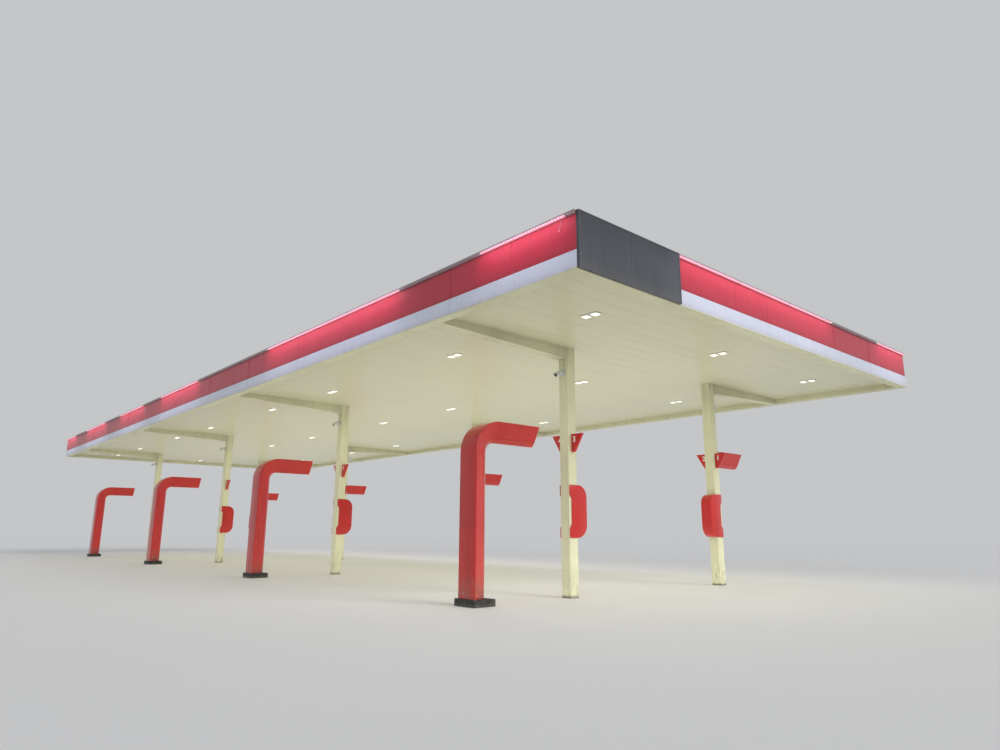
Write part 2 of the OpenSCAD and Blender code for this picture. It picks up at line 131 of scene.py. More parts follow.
class CanopyColours(bpy.types.PropertyGroup):
    """Colours of the canopy's paints and lights"""

    red: colour_setting("Fascia red", "Coated sheet of the upper fascia", (0.46, 0.020, 0.046))
    gloss_red: colour_setting("Gloss red", "Arches, arms, flags and service units", (0.50, 0.012, 0.009))
    cool_white: colour_setting("Cool white", "Coated sheet of the lower fascia", (0.62, 0.65, 0.76))
    # Partly the paint's own cream, partly painted light: the green-yellow tint of the lamps' light is laid
    # into this colour
    warm_white: colour_setting("Warm white", "Soffit pans, columns and beams", (0.68, 0.675, 0.46))
    charcoal: colour_setting("Charcoal", "Sign panel", (0.056, 0.061, 0.074))
    glow: colour_setting("Light bar glow", "Light of the lit stretches of the bars", (1.0, 0.13, 0.21))


class CanopySizes(bpy.types.PropertyGroup):
    """Sizes of the pieces that dress the canopy, and how bright its lights are"""

    bar_module: length_setting("Light bar length", "Longest lens between two couplers", 2.44, 0.5, 4.0)
    screw_pitch: length_setting("Screw pitch", "Distance between the fascia's screws", 0.61, 0.1, 2.0)
    rivet_pitch: length_setting("Rivet pitch", "Distance between rivets on the arches", 0.30, 0.1, 1.0)
    edge_round: length_setting(
        "Edge rounding", "Radius of the folded edges of arches and arms", 0.007, 0.002, 0.02)
    bar_strength: strength_setting("Light bar strength", "Brightness of the lit lenses", 20)
    lamp_strength: strength_setting("Lamp strength", "Brightness of the soffit lamps", 40)


class CanopyStudio(bpy.types.PropertyGroup):
    """The camera of the studio"""

    eye: bpy.props.FloatVectorProperty(
        name="Camera place", description="Where the photograph was taken from",
        default=(-13.526, -24.711, 1.32), subtype="TRANSLATION", size=3)
    yaw: angle_setting("Yaw", "Heading of the camera from +Y towards +X", 0.721)
    pitch: angle_setting("Pitch", "Upward tilt of the camera", 0.2199)
    roll: angle_setting("Roll", "Turn of the camera about its view", 0.0045)
    focal: bpy.props.FloatProperty(
        name="Focal length", description="Focal length in mm on a 36 mm wide sensor",
        default=25.04, min=10, max=100)


# Nodes of materials and trees


def feed(tree, node, inputs):
    """Links a node's inputs to sockets or fields, or sets them to plain values."""
    for key, value in inputs.items():
        value = getattr(value, "socket", value)
        if isinstance(value, bpy.types.NodeSocket):
            tree.links.new(value, node.inputs[key])
        else:
            node.inputs[key].default_value = value


def add_node(tree, kind, inputs=None, **settings):
    made = tree.nodes.new(kind)
    for key, value in settings.items():
        setattr(made, key, value)
    feed(tree, made, inputs or {})
    return made


class Field:
    """A number that varies over a surface, and is added and multiplied as plain numbers are."""

    def __init__(self, tree, socket):
        self.tree = tree
        self.socket = socket

    def calc(self, operation, other=0.0):
        made = add_node(self.tree, "ShaderNodeMath", {0: self, 1: other}, operation=operation)
        return Field(self.tree, made.outputs[0])

    __add__ = functools.partialmethod(calc, "ADD")
    __sub__ = functools.partialmethod(calc, "SUBTRACT")
    __mul__ = functools.partialmethod(calc, "MULTIPLY")
    __truediv__ = functools.partialmethod(calc, "DIVIDE")
    __abs__ = functools.partialmethod(calc, "ABSOLUTE")

    def __rsub__(self, other):
        made = add_node(self.tree, "ShaderNodeMath", {0: other, 1: self}, operation="SUBTRACT")
        return Field(self.tree, made.outputs[0])

    def spread(self, low, high, to_low=0.0, to_high=1.0):
        """Runs between two values, and stays level outside, as this field goes from low to high."""
        made = add_node(self.tree, "ShaderNodeMapRange", {0: self, 1: low, 2: high, 3: to_low, 4: to_high})
        return Field(self.tree, made.outputs[0])

    def bands(self, pitch, shift):
        """A steady random number for each band of that width along this coordinate."""
        step = ((self + shift) / pitch).calc("FLOOR")
        made = add_node(self.tree, "ShaderNodeTexWhiteNoise", {"W": step}, noise_dimensions="1D")
        return Field(self.tree, made.outputs["Value"])

    def seams(self, pitch, width, shift=0.0):
        """One on narrow lines at every pitch along this coordinate, and zero between."""
        off = abs(((self + shift) / pitch).calc("FRACT") - 0.5)
        return off.spread(0.5 - width / pitch, 0.5)


class Finish:
    """A procedural material: a surface shader with layers laid over its colour."""

    def __init__(self, name, colour, roughness, metallic=0.0, coat=0.0, coat_roughness=0.08):
        self.material = bpy.data.materials.new(name)
        self.material.use_nodes = True
        self.tree = self.material.node_tree
        self.shader = self.tree.nodes["Principled BSDF"]
        self.colour = (*colour, 1)
        self.roughness = roughness
        self.height = None
        feed(self.tree, self.shader, {
            "Base Color": self.colour, "Roughness": roughness, "Metallic": metallic,
            "Coat Weight": coat, "Coat Roughness": coat_roughness, "Specular IOR Level": 0.4})
        self.place = self.node("ShaderNodeTexCoord").outputs["Object"]
        split = self.node("ShaderNodeSeparateXYZ", {0: self.place})
        self.x, self.y, self.z = [Field(self.tree, socket) for socket in split.outputs]

    def node(self, kind, inputs=None, **settings):
        return add_node(self.tree, kind, inputs, **settings)

    def noise(self, scale, stretch=(1, 1, 1), detail=3.0, shift=(0, 0, 0)):
        place = self.node("ShaderNodeMapping", {"Location": shift, "Scale": stretch, "Vector": self.place})
        made = self.node("ShaderNodeTexNoise", {"Vector": place.outputs[0], "Scale": scale, "Detail": detail})
        return Field(self.tree, made.outputs[0])

    def cells(self, scale, output, randomness=1.0):
        inputs = {"Vector": self.place, "Scale": scale, "Randomness": randomness}
        return Field(self.tree, self.node("ShaderNodeTexVoronoi", inputs).outputs[output])

    def over(self, factor, colour):
        """Lays a colour over what is there."""
        made = self.node("ShaderNodeMix", {0: factor, 6: self.colour, 7: (*colour, 1)}, data_type="RGBA")
        self.colour = made.outputs[2]

    def duller(self, factor, roughness):
        """Brings the roughness nearer to a value."""
        made = self.node("ShaderNodeMix", {0: factor, 2: self.roughness, 3: roughness}, data_type="FLOAT")
        self.roughness = made.outputs[0]

    def raise_by(self, field, weight=1.0):
        part = field * weight
        self.height = self.height + part if self.height else part

    def done(self, relief=0.0):
        """Ends the material, its height field as bumps of that many metres."""
        inputs = {"Base Color": self.colour, "Roughness": self.roughness}
        if self.height:
            bump = self.node("ShaderNodeBump", {"Distance": relief, "Strength": 1.0, "Height": self.height})
            inputs["Normal"] = bump.outputs[0]
        feed(self.tree, self.shader, inputs)
        return self.material


# Finishes

# Dark brown of grime, also used as painted shade where the beams meet the column heads
GRIME_AND_SHADE = (0.25, 0.22, 0.16)
RAIN_MARK = (0.36, 0.32, 0.24)
ROOF_DUST = (0.20, 0.19, 0.165)


def shade(colour, factor):
    return tuple(c * factor for c in colour)


def weathered(finish, colour, dark, light):
    """Broad dark and light mottling and dull patches, as any paint outdoors has."""
    finish.over(finish.noise(0.55, detail=4).spread(0.42, 0.72), shade(colour, dark))
    faded = finish.noise(1.7, detail=5, shift=(9, 3, 5)).spread(0.50, 0.78, 0, 0.55)
    finish.over(faded, shade(colour, light))
    finish.duller(finish.noise(3.0, detail=4, shift=(4, 8, 1)).spread(0.40, 0.70), 0.62)


def streaked(finish, colour, factor, scale, squeeze=0.06, low=0.56, high=0.74):
    """Dirt that has run down a face, in streaks that are longer for a smaller squeeze."""
    run = finish.noise(scale, (1, 1, squeeze), 5, (2, 7, 3)).spread(low, high) * factor
    finish.over(run, colour)
    finish.duller(run, 0.75)


def column_paint(colour):
    f = Finish("column_paint", colour, 0.38, coat=0.15)
    weathered(f, colour, 0.86, 1.05)
    # Darker streaks towards the head: partly painted shade under the beams, partly dirt run down from them
    streaked(f, (0.24, 0.21, 0.15), f.z.spread(4.35, 4.93) * 0.45, 16.0, 0.05, 0.46, 0.68)
    streaked(f, (0.42, 0.38, 0.28), 0.22, 9.0)
    splashed = f.noise(9.0, (1, 1, 0.5), 6).spread(0.40, 0.72) * f.z.spread(0.75, 0.0)
    f.over(splashed * 0.7, (0.26, 0.23, 0.17))
    f.over(f.z.spread(0.07, 0.0, 0, 0.75), (0.10, 0.092, 0.075))
    scuffed = f.noise(34, (1, 1, 0.18), 2).spread(0.66, 0.72) * f.z.spread(1.5, 0.4)
    f.over(scuffed * 0.7, (0.09, 0.085, 0.08))
    rusted = f.noise(22, detail=5, shift=(5, 1, 8)).spread(0.71, 0.76) * f.z.spread(0.5, 0.1)
    f.over(rusted, (0.21, 0.072, 0.022))
    f.raise_by(f.noise(240, detail=2), 0.25)
    f.raise_by(f.noise(11, (1, 1, 0.3)), 0.7)
    return f.done(0.0012)


def beam_paint(colour):
    # Painted shade: the beams are painted a tenth darker than the columns' white, for the shade they stand in
    # under the deck
    colour = shade(colour, 0.90)
    f = Finish("beam_paint", colour, 0.42, coat=0.1)
    weathered(f, colour, 0.82, 1.05)
    streaked(f, RAIN_MARK, 0.35, 5.0, 0.15, 0.54, 0.80)
    # Darker near the columns and at the beams' lowest part: grime, with painted shade where beam and column
    # meet
    by_column = abs(abs(f.x) - ROW_X).spread(0.55, 0.1)
    f.over(by_column * f.noise(6, (1, 1, 0.2), 4).spread(0.3, 0.7) * 0.5, GRIME_AND_SHADE)
    f.over(f.z.spread(5.00, 4.93, 0, 0.35) * f.noise(5), GRIME_AND_SHADE)
    above = f.z.spread(SOFFIT_Z + 0.35, SOFFIT_Z + 0.55, 0, 0.7)
    f.over(above * f.noise(2.6, detail=6), ROOF_DUST)
    f.raise_by(f.noise(230, detail=2), 0.2)
    f.raise_by(f.noise(3.0, (0.4, 1, 1)))
    return f.done(0.0022)


def deck_paint(colour):
    # Painted shade: the pans are painted darker than the columns' white, standing in for the soffit's dimmer
    # light from below
    colour = shade(colour, 0.84)
    f = Finish("deck_paint", colour, 0.34, coat=0.2, coat_roughness=0.2)
    f.over(f.y.bands(PAN, -LINES[0]).spread(0, 1, 0, 0.14), shade(colour, 0.82))
    f.over(f.noise(0.30, (1, 0.7, 1), 4).spread(0.40, 0.75, 0, 0.34), (0.60, 0.56, 0.42))
    f.over(f.noise(1.1, (0.35, 1.6, 1), 5, (3, 1, 0)).spread(0.54, 0.80, 0, 0.30), (0.50, 0.46, 0.35))
    by_gutter = abs(f.x).spread(5.55, 6.25, 0, 0.45)
    f.over(by_gutter * f.noise(2.4, (1, 1.8, 1), 5).spread(0.36, 0.70), (0.42, 0.38, 0.28))
    joints = PAN / 2 - LINES[0]
    f.over(f.y.seams(PAN, 0.009, joints) * 0.34, (0.32, 0.29, 0.21))
    patchy = f.noise(1.3, (0.5, 2, 1), 4, (1, 5, 2)).spread(0.42, 0.72)
    f.over(f.y.seams(PAN, 0.075, joints) * 0.20 * patchy, (0.46, 0.41, 0.29))
    f.over(f.noise(30, detail=4, shift=(6, 2, 2)).spread(0.70, 0.76) * 0.3, (0.36, 0.31, 0.22))
    top = f.z.spread(SOFFIT_Z + 0.002, SOFFIT_Z + 0.0032)
    f.over(top * f.noise(1.3, detail=7).spread(0.3, 0.62, 0.25, 0.95), (0.27, 0.25, 0.21))
    f.duller(top, 0.7)
    f.raise_by(f.noise(0.9, (0.55, 1.9, 1), 2))
    f.raise_by(f.noise(4.5, (0.3, 1.6, 1), 2, (8, 3, 1)), 0.22)
    return f.done(0.006)


def primer_grey():
    f = Finish("purlin_primer", (0.24, 0.245, 0.24), 0.60)
    f.over(f.noise(1.6, detail=5).spread(0.4, 0.7), (0.17, 0.175, 0.17))
    f.over(f.noise(7, (0.4, 0.4, 1), 6, (3, 3, 3)).spread(0.60, 0.70, 0, 0.85), (0.16, 0.068, 0.030))
    f.over(f.noise(2.2, (1, 1, 3), 5, (1, 6, 3)).spread(0.56, 0.72, 0, 0.5), (0.33, 0.32, 0.29))
    f.duller(f.noise(5), 0.78)
    f.raise_by(f.noise(60, detail=5))
    return f.done(0.0015)


def galvanised():
    f = Finish("galvanised_steel", (0.50, 0.51, 0.52), 0.40, metallic=0.85)
    f.over(f.cells(55, "Color").spread(0.2, 0.9, 0, 0.55), (0.33, 0.34, 0.36))
    f.over(f.noise(2.5, detail=6).spread(0.52, 0.72, 0, 0.6), (0.60, 0.60, 0.58))
    f.over(f.noise(9, detail=6, shift=(5, 5, 1)).spread(0.66, 0.74, 0, 0.7), (0.23, 0.12, 0.06))
    f.duller(f.noise(12, detail=4), 0.6)
    return f.done()


def gutter_paint(colour):
    colour = shade(colour, 0.92)
    f = Finish("gutter_paint", colour, 0.40, coat=0.1)
    weathered(f, colour, 0.84, 1.04)
    streaked(f, RAIN_MARK, 0.35, 4.0, 0.3, 0.52, 0.78)
    f.over(f.z.spread(SOFFIT_Z - 0.03, SOFFIT_Z, 0, 0.4) * f.noise(6, detail=4), (0.28, 0.25, 0.19))
    joints = f.x.seams(TRAY, 0.006).calc("MAXIMUM", f.y.seams(TRAY, 0.006))
    f.over(joints * 0.7, (0.16, 0.145, 0.11))
    f.raise_by(f.noise(3, (1, 1, 2)))
    return f.done(0.003)


def fascia_sheet(name, colour, low, high, dirt, drip):
    """Coated sheet of the trays between two heights, with grey primer on their inner faces."""
    f = Finish(name, colour, 0.34, coat=0.2, coat_roughness=0.12)
    f.over((f.x + f.y).bands(TRAY, HALF_L).spread(0, 1, 0, 0.30), shade(colour, 0.84))
    f.over(f.noise(0.8, detail=4).spread(0.45, 0.75, 0, 0.30), shade(colour, 1.16))
    f.over(f.noise(13, (1, 1, 0.10), 5, (1, 5, 2)).spread(0.54, 0.78) * 0.26, dirt)
    f.over(f.z.spread(low, low + 0.12, 0.6, 0) * f.noise(7, (1, 1, 0.5), 5), dirt)
    under_bar = f.z.spread(FASCIA_TOP - 0.16, FASCIA_TOP - 0.05, 0, 0.5)
    f.over(under_bar * f.noise(20, (1, 1, 0.25), 4).spread(0.4, 0.7), drip)
    f.duller(f.noise(5, (1, 1, 0.3), 4).spread(0.4, 0.75, 0, 0.8), 0.5)
    sheet = 0.002
    behind = (HALF_W - sheet - abs(f.x)).calc("MINIMUM", HALF_L - sheet - abs(f.y))
    within = (f.z - (low + sheet)).calc("MINIMUM", high - sheet - f.z)
    back = behind.calc("MINIMUM", within).spread(0, 0.0004)
    f.over(back, (0.33, 0.325, 0.30))
    f.over(back * f.noise(2.5, detail=6, shift=(2, 2, 2)).spread(0.45, 0.75, 0, 0.8), ROOF_DUST)
    f.raise_by(f.noise(0.9, (1, 1, 1.4), 2))
    f.raise_by(f.noise(160, detail=2), 0.02)
    return f.done(0.008)


def charcoal_panel(colour):
    f = Finish("sign_charcoal", colour, 0.36, metallic=0.30, coat=0.2)
    f.over(f.noise(1.1, detail=4).spread(0.4, 0.75, 0, 0.6), shade(colour, 1.45))
    f.over(f.noise(15, (1, 1, 0.07), 5).spread(0.52, 0.72, 0, 0.55), shade(colour, 0.55))
    f.over(f.z.spread(FASCIA_Z + 0.2, FASCIA_Z, 0, 0.6) * f.noise(6, detail=5), (0.15, 0.14, 0.12))
    f.duller(f.noise(4, (1, 1, 0.4), 5), 0.5)
    f.raise_by(f.noise(1.3, detail=2))
    return f.done(0.004)


def gloss_red(name, colour):
    f = Finish(name, colour, 0.30, coat=0.5, coat_roughness=0.09)
    f.over(f.noise(1.2, detail=4).spread(0.42, 0.75, 0, 0.5), shade(colour, 0.78))
    f.over(f.noise(2.2, (1, 1, 0.6), 4, (7, 1, 3)).spread(0.52, 0.78, 0, 0.22), (0.58, 0.032, 0.014))
    streaked(f, shade(colour, 0.35), 0.45, 11.0, 0.08)
    splashed = f.z.spread(0.62, 0.12) * f.noise(11, (1, 1, 0.5), 6).spread(0.36, 0.72)
    f.over(splashed, (0.17, 0.10, 0.07))
    scuffed = f.noise(42, (1, 1, 0.16), 2, (3, 9, 2)).spread(0.67, 0.72) * f.z.spread(1.5, 0.5)
    f.over(scuffed * 0.6, (0.60, 0.34, 0.28))
    f.duller(f.noise(6, detail=4).spread(0.45, 0.75, 0, 0.6), 0.46)
    f.raise_by(f.noise(3.5, detail=1), 0.7)
    return f.done(0.0014)


def plinth_black():
    f = Finish("plinth_black", (0.022, 0.022, 0.023), 0.55)
    f.over(f.noise(9, detail=6).spread(0.45, 0.72, 0, 0.7), (0.075, 0.070, 0.060))
    f.over(f.z.spread(0.06, 0.0) * f.noise(24, detail=5).spread(0.3, 0.7), (0.22, 0.20, 0.16))
    f.over(f.noise(55, shift=(3, 2, 8)).spread(0.68, 0.74, 0, 0.8), (0.16, 0.15, 0.14))
    f.duller(f.noise(12, detail=4), 0.82)
    f.raise_by(f.noise(120, detail=4))
    return f.done(0.0016)


def frosted_lens(name, colour, glow=None, strength=0.0):
    """Frosted plastic of a light bar over its row of beads, which shine where it is lit."""
    f = Finish(name, colour, 0.36, coat=0.4)
    on_end = abs(f.y).spread(HALF_L, HALF_L + 0.0005)
    along = f.y + on_end * (f.x - f.y)
    bead = abs((along / 0.065).calc("FRACT") - 0.5)
    f.over(f.noise(14, (1, 1, 0.5), 5).spread(0.44, 0.75, 0, 0.5), shade(colour, 0.6))
    f.duller(f.noise(9), 0.55)
    if glow:
        off_line = abs(f.z - (FASCIA_TOP - 0.047))
        spot = bead.spread(0.32, 0.12) * off_line.spread(0.011, 0.004, 0.1, 1)
        pale = (1.0, 0.66, 0.76, 1)
        tint = f.node("ShaderNodeMix", {0: spot, 6: (*glow, 1), 7: pale}, data_type="RGBA")
        power = spot.spread(0, 1, 0.5 * strength, 1.25 * strength)
        feed(f.tree, f.shader, {"Emission Color": tint.outputs[2], "Emission Strength": power})
    else:
        f.over(bead.spread(0.20, 0.05, 0, 0.35), shade(colour, 1.5))
    return f.done()


def anodised():
    f = Finish("light_channel_aluminium", (0.42, 0.41, 0.42), 0.34, metallic=0.9)
    f.over(f.noise(6, (0.2, 0.2, 3), 5).spread(0.4, 0.75), (0.27, 0.265, 0.27))
    f.over(f.noise(26, detail=5).spread(0.62, 0.75, 0, 0.6), (0.55, 0.53, 0.50))
    f.duller(f.noise(20, detail=4), 0.55)
    return f.done()


def white_casting(name, colour):
    f = Finish(name, colour, 0.42)
    f.over(f.noise(8, detail=5).spread(0.42, 0.72, 0, 0.5), shade(colour, 0.72))
    f.over(f.noise(40, detail=4, shift=(4, 4, 2)).spread(0.62, 0.72, 0, 0.6), (0.32, 0.27, 0.18))
    f.duller(f.noise(15, detail=4), 0.6)
    f.raise_by(f.noise(260, detail=2))
    return f.done(0.0006)


def lamp_glass(name, light, strength):
    """Glowing glass: pressed glass in front of a grid of small bright chips on the lamps, and the painted
    glint of the bar's end domes
    """
    f = Finish(name, (0.85, 0.86, 0.82), 0.12, coat=0.5)
    f.over(f.noise(30, detail=4).spread(0.4, 0.7, 0, 0.4), (0.70, 0.68, 0.55))
    f.duller(f.noise(40), 0.3)
    power = f.cells(46, "Distance", 0.15).spread(0.62, 0.1, 0.62 * strength, 1.35 * strength)
    feed(f.tree, f.shader, {"Emission Color": (*light, 1), "Emission Strength": power})
    made = f.done()
    made.cycles.emission_sampling = "NONE"
    return made


def numeral_white():
    f = Finish("numeral_white", (0.80, 0.79, 0.74), 0.35, coat=0.3)
    f.over(f.noise(20, detail=5).spread(0.45, 0.75, 0, 0.5), (0.62, 0.58, 0.50))
    f.over(f.noise(90).spread(0.64, 0.72, 0, 0.6), (0.45, 0.20, 0.16))
    f.duller(f.noise(18), 0.6)
    return f.done()


def zinc_bolt():
    f = Finish("zinc_fixings", (0.46, 0.46, 0.45), 0.38, metallic=0.9)
    f.over(f.noise(55, detail=4).spread(0.5, 0.72, 0, 0.8), (0.22, 0.16, 0.11))
    f.duller(f.noise(80), 0.65)
    return f.done()


def tinted_glass():
    f = Finish("camera_glass", (0.012, 0.013, 0.016), 0.06, coat=1.0, coat_roughness=0.03)
    f.over(f.noise(60, detail=4).spread(0.55, 0.8, 0, 0.4), (0.06, 0.055, 0.05))
    f.duller(f.noise(45, detail=4).spread(0.5, 0.8, 0, 0.6), 0.35)
    return f.done()


# Mesh tools


def new_object(name, data):
    made = bpy.data.objects.new(name, data)
    bpy.context.scene.collection.objects.link(made)
    return made


def paint(mesh, material):
    mesh.materials.clear()
    mesh.materials.append(material)


def paint_nodes(material, *names):
    for name in names:
        paint(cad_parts[name].data, material)


def keep(name, mesh, material, slot, *nodes):
    """Makes a finished piece and hands it to the frame."""
    piece = new_object(name, mesh)
    paint(mesh, material)
    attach(piece, BODY)
    if nodes:
        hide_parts(*nodes)


def close(bm, name, smooth_angle=None):
    """Ends a mesh: faces outwards, and smooth shading up to an angle."""
    bmesh.ops.recalc_face_normals(bm, faces=bm.faces)
    mesh = bpy.data.meshes.new(name)
    bm.to_mesh(mesh)
    bm.free()
    if smooth_angle:
        smooth(mesh, smooth_angle)
    return mesh


def smooth(mesh, angle):
    mesh.polygons.foreach_set("use_smooth", [True] * len(mesh.polygons))
    mesh.set_sharp_from_angle(angle=math.radians(angle))


def keep_built(name, bm, material, slot, *nodes, angle=None):
    keep(name, close(bm, name, angle), material, slot, *nodes)


def skin(bm, rings, around=False):
    """Faces from ring to ring of points, with the ends closed or joined to each other."""
    rings = [[bm.verts.new(point) for point in ring] for ring in rings]
    for first, second in zip(rings, rings[1:] + (rings[:1] if around else [])):
        for i in range(len(first)):
            j = (i + 1) % len(first)
            bm.faces.new((first[i], first[j], second[j], second[i]))
    if not around:
        bm.faces.new(rings[0])
        bm.faces.new(rings[-1])


def prism(bm, outline, place, stops):
    """A closed solid: an outline carried along a run by place(a, b, s)."""
    skin(bm, [[place(a, b, s) for a, b in outline] for s in stops])


def block(bm, corner, opposite, edge, segments=1):
    """A box between two opposite corners, with rounded edges."""
    low = Vector([min(pair) for pair in zip(corner, opposite)])
    high = Vector([max(pair) for pair in zip(corner, opposite)])
    made = bmesh.ops.create_cube(bm, size=1)["verts"]
    for vert in made:
        vert.co = (low + high) / 2 + Vector(c * s for c, s in zip(vert.co, high - low))
    edges = list({e for v in made for e in v.link_edges})
    bmesh.ops.bevel(bm, geom=edges, offset=edge, segments=segments, profile=0.5, affect="EDGES")


def at(place, side=None):
    """The matrix that puts a part at a place, facing a side or else upright."""
    turn = Euler(FACING[side]).to_matrix().to_4x4() if side else Matrix.Identity(4)
    return Matrix.Translation(place) @ turn


def axes(x, y, z):
    """The matrix that lays a thing's own axes along three directions."""
    return Matrix((x, y, z)).transposed().to_4x4()


def drum(bm, matrix, radius, length, sides, edge, radius_end=None):
    """A round solid along its own Z, with softened rims."""
    end = radius_end or radius
    profile = [(radius - edge, 0), (radius, edge), (end, length - edge), (end - edge, length)]
    turns = [2 * math.pi * k / sides for k in range(sides)]
    skin(bm, [[matrix @ Vector((r * math.cos(t), r * math.sin(t), h)) for t in turns] for r, h in profile])


def rounded(points, radius, steps=3):
    """An outline with each corner turned into a small arc."""
    made = []
    for i, point in enumerate(points):
        here = Vector(point)
        back, ahead = Vector(points[i - 1]) - here, Vector(points[(i + 1) % len(points)]) - here
        reach = min(radius, back.length * 0.45, ahead.length * 0.45)
        start, end = here + back.normalized() * reach, here + ahead.normalized() * reach
        for k in range(steps + 1):
            t = k / steps
            made.append(tuple((1 - t) ** 2 * start + 2 * t * (1 - t) * here + t * t * end))
    return made


def softened(node, name, width, material, slot, angle=35, segments=2):
    """Keeps a copy of a CAD node, its sharp edges rounded over, in the node's place."""
    bm = bmesh.new()
    bm.from_mesh(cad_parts[node].data)
    bmesh.ops.remove_doubles(bm, verts=bm.verts, dist=1e-5)
    bmesh.ops.dissolve_limit(bm, angle_limit=math.radians(0.5), verts=bm.verts, edges=bm.edges)
    mesh = bpy.data.meshes.new(name)
    bm.to_mesh(mesh)
    bm.free()
    rough = new_object(name + "_rough", mesh)
    bevel = rough.modifiers.new("edges", "BEVEL")
    bevel.width, bevel.segments = width, segments
    bevel.limit_method, bevel.angle_limit = "ANGLE", math.radians(angle)
    made = evaluated_mesh(rough, name)
    smooth(made, 32)
    keep(name, made, material, slot, node)


def evaluated_mesh(made, name):
    """The plain mesh that an object's modifiers give. The object is removed."""
    graph = bpy.context.evaluated_depsgraph_get()
    mesh = bpy.data.meshes.new_from_object(made.evaluated_get(graph))
    mesh.name = name
    bpy.data.objects.remove(made)
    return mesh


# Repeated parts


PART_INPUTS = (
    ("Part", "Object", None), ("Size", "Float", 1.0), ("Spin", "Float", 0.0), ("Seed", "Int", 7),
    ("Finish", "Material", None),
)


def add_socket(tree, name, kind, default=None, way="INPUT"):
    socket = tree.interface.new_socket(name=name, in_out=way, socket_type="NodeSocket" + kind)
    if default is not None:
        socket.default_value = default


def parts_tree(along_edges):
    """Parts at an even pitch along the edges of a mesh, or else on its points."""
    name = "parts_along_edges" if along_edges else "parts_on_points"
    if name in bpy.data.node_groups:
        return bpy.data.node_groups[name]
    tree = bpy.data.node_groups.new(name, "GeometryNodeTree")
    add_socket(tree, "Geometry", "Geometry")
    for row in ([("Pitch", "Float", 0.3)] if along_edges else []) + [*PART_INPUTS]:
        add_socket(tree, *row)
    add_socket(tree, "Geometry", "Geometry", way="OUTPUT")
    given = tree.nodes.new("NodeGroupInput").outputs
    points = given["Geometry"]
    if along_edges:
        curve = add_node(tree, "GeometryNodeMeshToCurve", {0: points})
        inputs = {"Curve": curve.outputs[0], "Length": given["Pitch"]}
        points = add_node(tree, "GeometryNodeResampleCurve", inputs, mode="LENGTH").outputs[0]
    place_parts(tree, given, points)
    return tree


def place_parts(tree, given, points):
    """Puts the part on each point by the point's own turn, realized and painted."""
    back = add_node(tree, "ShaderNodeMath", {0: given["Spin"], 1: -1.0}, operation="MULTIPLY")
    spin = add_node(tree, "FunctionNodeRandomValue", data_type="FLOAT")
    sockets = {socket.name: socket for socket in spin.inputs if socket.enabled}
    for name, value in (("Min", back.outputs[0]), ("Max", given["Spin"]), ("Seed", given["Seed"])):
        tree.links.new(value, sockets[name])
    spun = next(socket for socket in spin.outputs if socket.enabled)
    axis = add_node(tree, "ShaderNodeCombineXYZ", {2: spun})
    own = add_node(tree, "FunctionNodeEulerToRotation", {0: axis.outputs[0]})
    turn = add_node(tree, "GeometryNodeInputNamedAttribute", {"Name": "turn"}, data_type="FLOAT_VECTOR")
    outer = add_node(tree, "FunctionNodeEulerToRotation", {0: turn.outputs["Attribute"]})
    both = add_node(tree, "FunctionNodeRotateRotation", {0: outer.outputs[0], 1: own.outputs[0]},
                    rotation_space="LOCAL")
    part = add_node(tree, "GeometryNodeObjectInfo", {"Object": given["Part"]})
    put = add_node(tree, "GeometryNodeInstanceOnPoints", {
        "Points": points, "Instance": part.outputs["Geometry"],
        "Rotation": both.outputs[0], "Scale": given["Size"]})
    real = add_node(tree, "GeometryNodeRealizeInstances", {0: put.outputs[0]})
    painted = {"Geometry": real.outputs[0], "Material": given["Finish"]}
    done = add_node(tree, "GeometryNodeSetMaterial", painted)
    add_node(tree, "NodeGroupOutput", {0: done.outputs[0]})


def repeat(name, part, material, slot, *nodes, places=(), runs=(), **values):
    """Keeps parts at (point, turn) places, or along runs of (start, end, turn) at a Pitch."""
    points, turns, edges = [], [], []
    for start, end, turn in runs:
        edges.append((len(points), len(points) + 1))
        points += [start, end]
        turns += [turn, turn]
    for point, turn in places:
        points.append(point)
        turns.append(turn)
    mesh = bpy.data.meshes.new(name + "_places")
    mesh.from_pydata([tuple(p) for p in points], edges, [])
    layer = mesh.attributes.new("turn", "FLOAT_VECTOR", "POINT")
    layer.data.foreach_set("vector", [c for t in turns for c in t])
    base = new_object(name + "_base", mesh)
    modifier = base.modifiers.new("repeat", "NODES")
    modifier.node_group = parts_tree(bool(runs))
    for item in modifier.node_group.interface.items_tree:
        value = {"Part": part, "Finish": material, **values}.get(item.name)
        if value is not None:
            modifier[item.identifier] = value
    made = evaluated_mesh(base, name)
    bpy.data.objects.remove(part)
    if "turn" in made.attributes:
        made.attributes.remove(made.attributes["turn"])
    keep(name, made, material, slot, *nodes)


def fix(name, part, **where):
    """Repeats a zinc fixing."""
    repeat(name, part, zinc_bolt(), "frame_steel", **where)


def part_object(bm, name, angle=30):
    return new_object(name, close(bm, name, angle))


def dome_screw(radius=0.007, height=0.003):
    bm = bmesh.new()
    drum(bm, at((0, 0, 0)), radius, height, 8, height * 0.6)
    return part_object(bm, "screw")


def hex_bolt(radius, height, washer=0.0025):
    bm = bmesh.new()
    drum(bm, at((0, 0, 0)), radius * 1.55, washer, 12, 0.0006)
    drum(bm, at((0, 0, washer)), radius, height, 6, 0.0012)
    drum(bm, at((0, 0, washer + height)), radius * 0.5, height * 0.5, 8, 0.001)
    return part_object(bm, "bolt")


def on_side(side, out, z, along):
    """A point by its distance out from the fascia and from the west or south corner."""
    sign = -1 if side in ("west", "south") else 1
    if side in ("west", "east"):
        return Vector((sign * (HALF_W + out), -HALF_L + along, z))
    return Vector((-HALF_W + along, sign * (HALF_L + out), z))


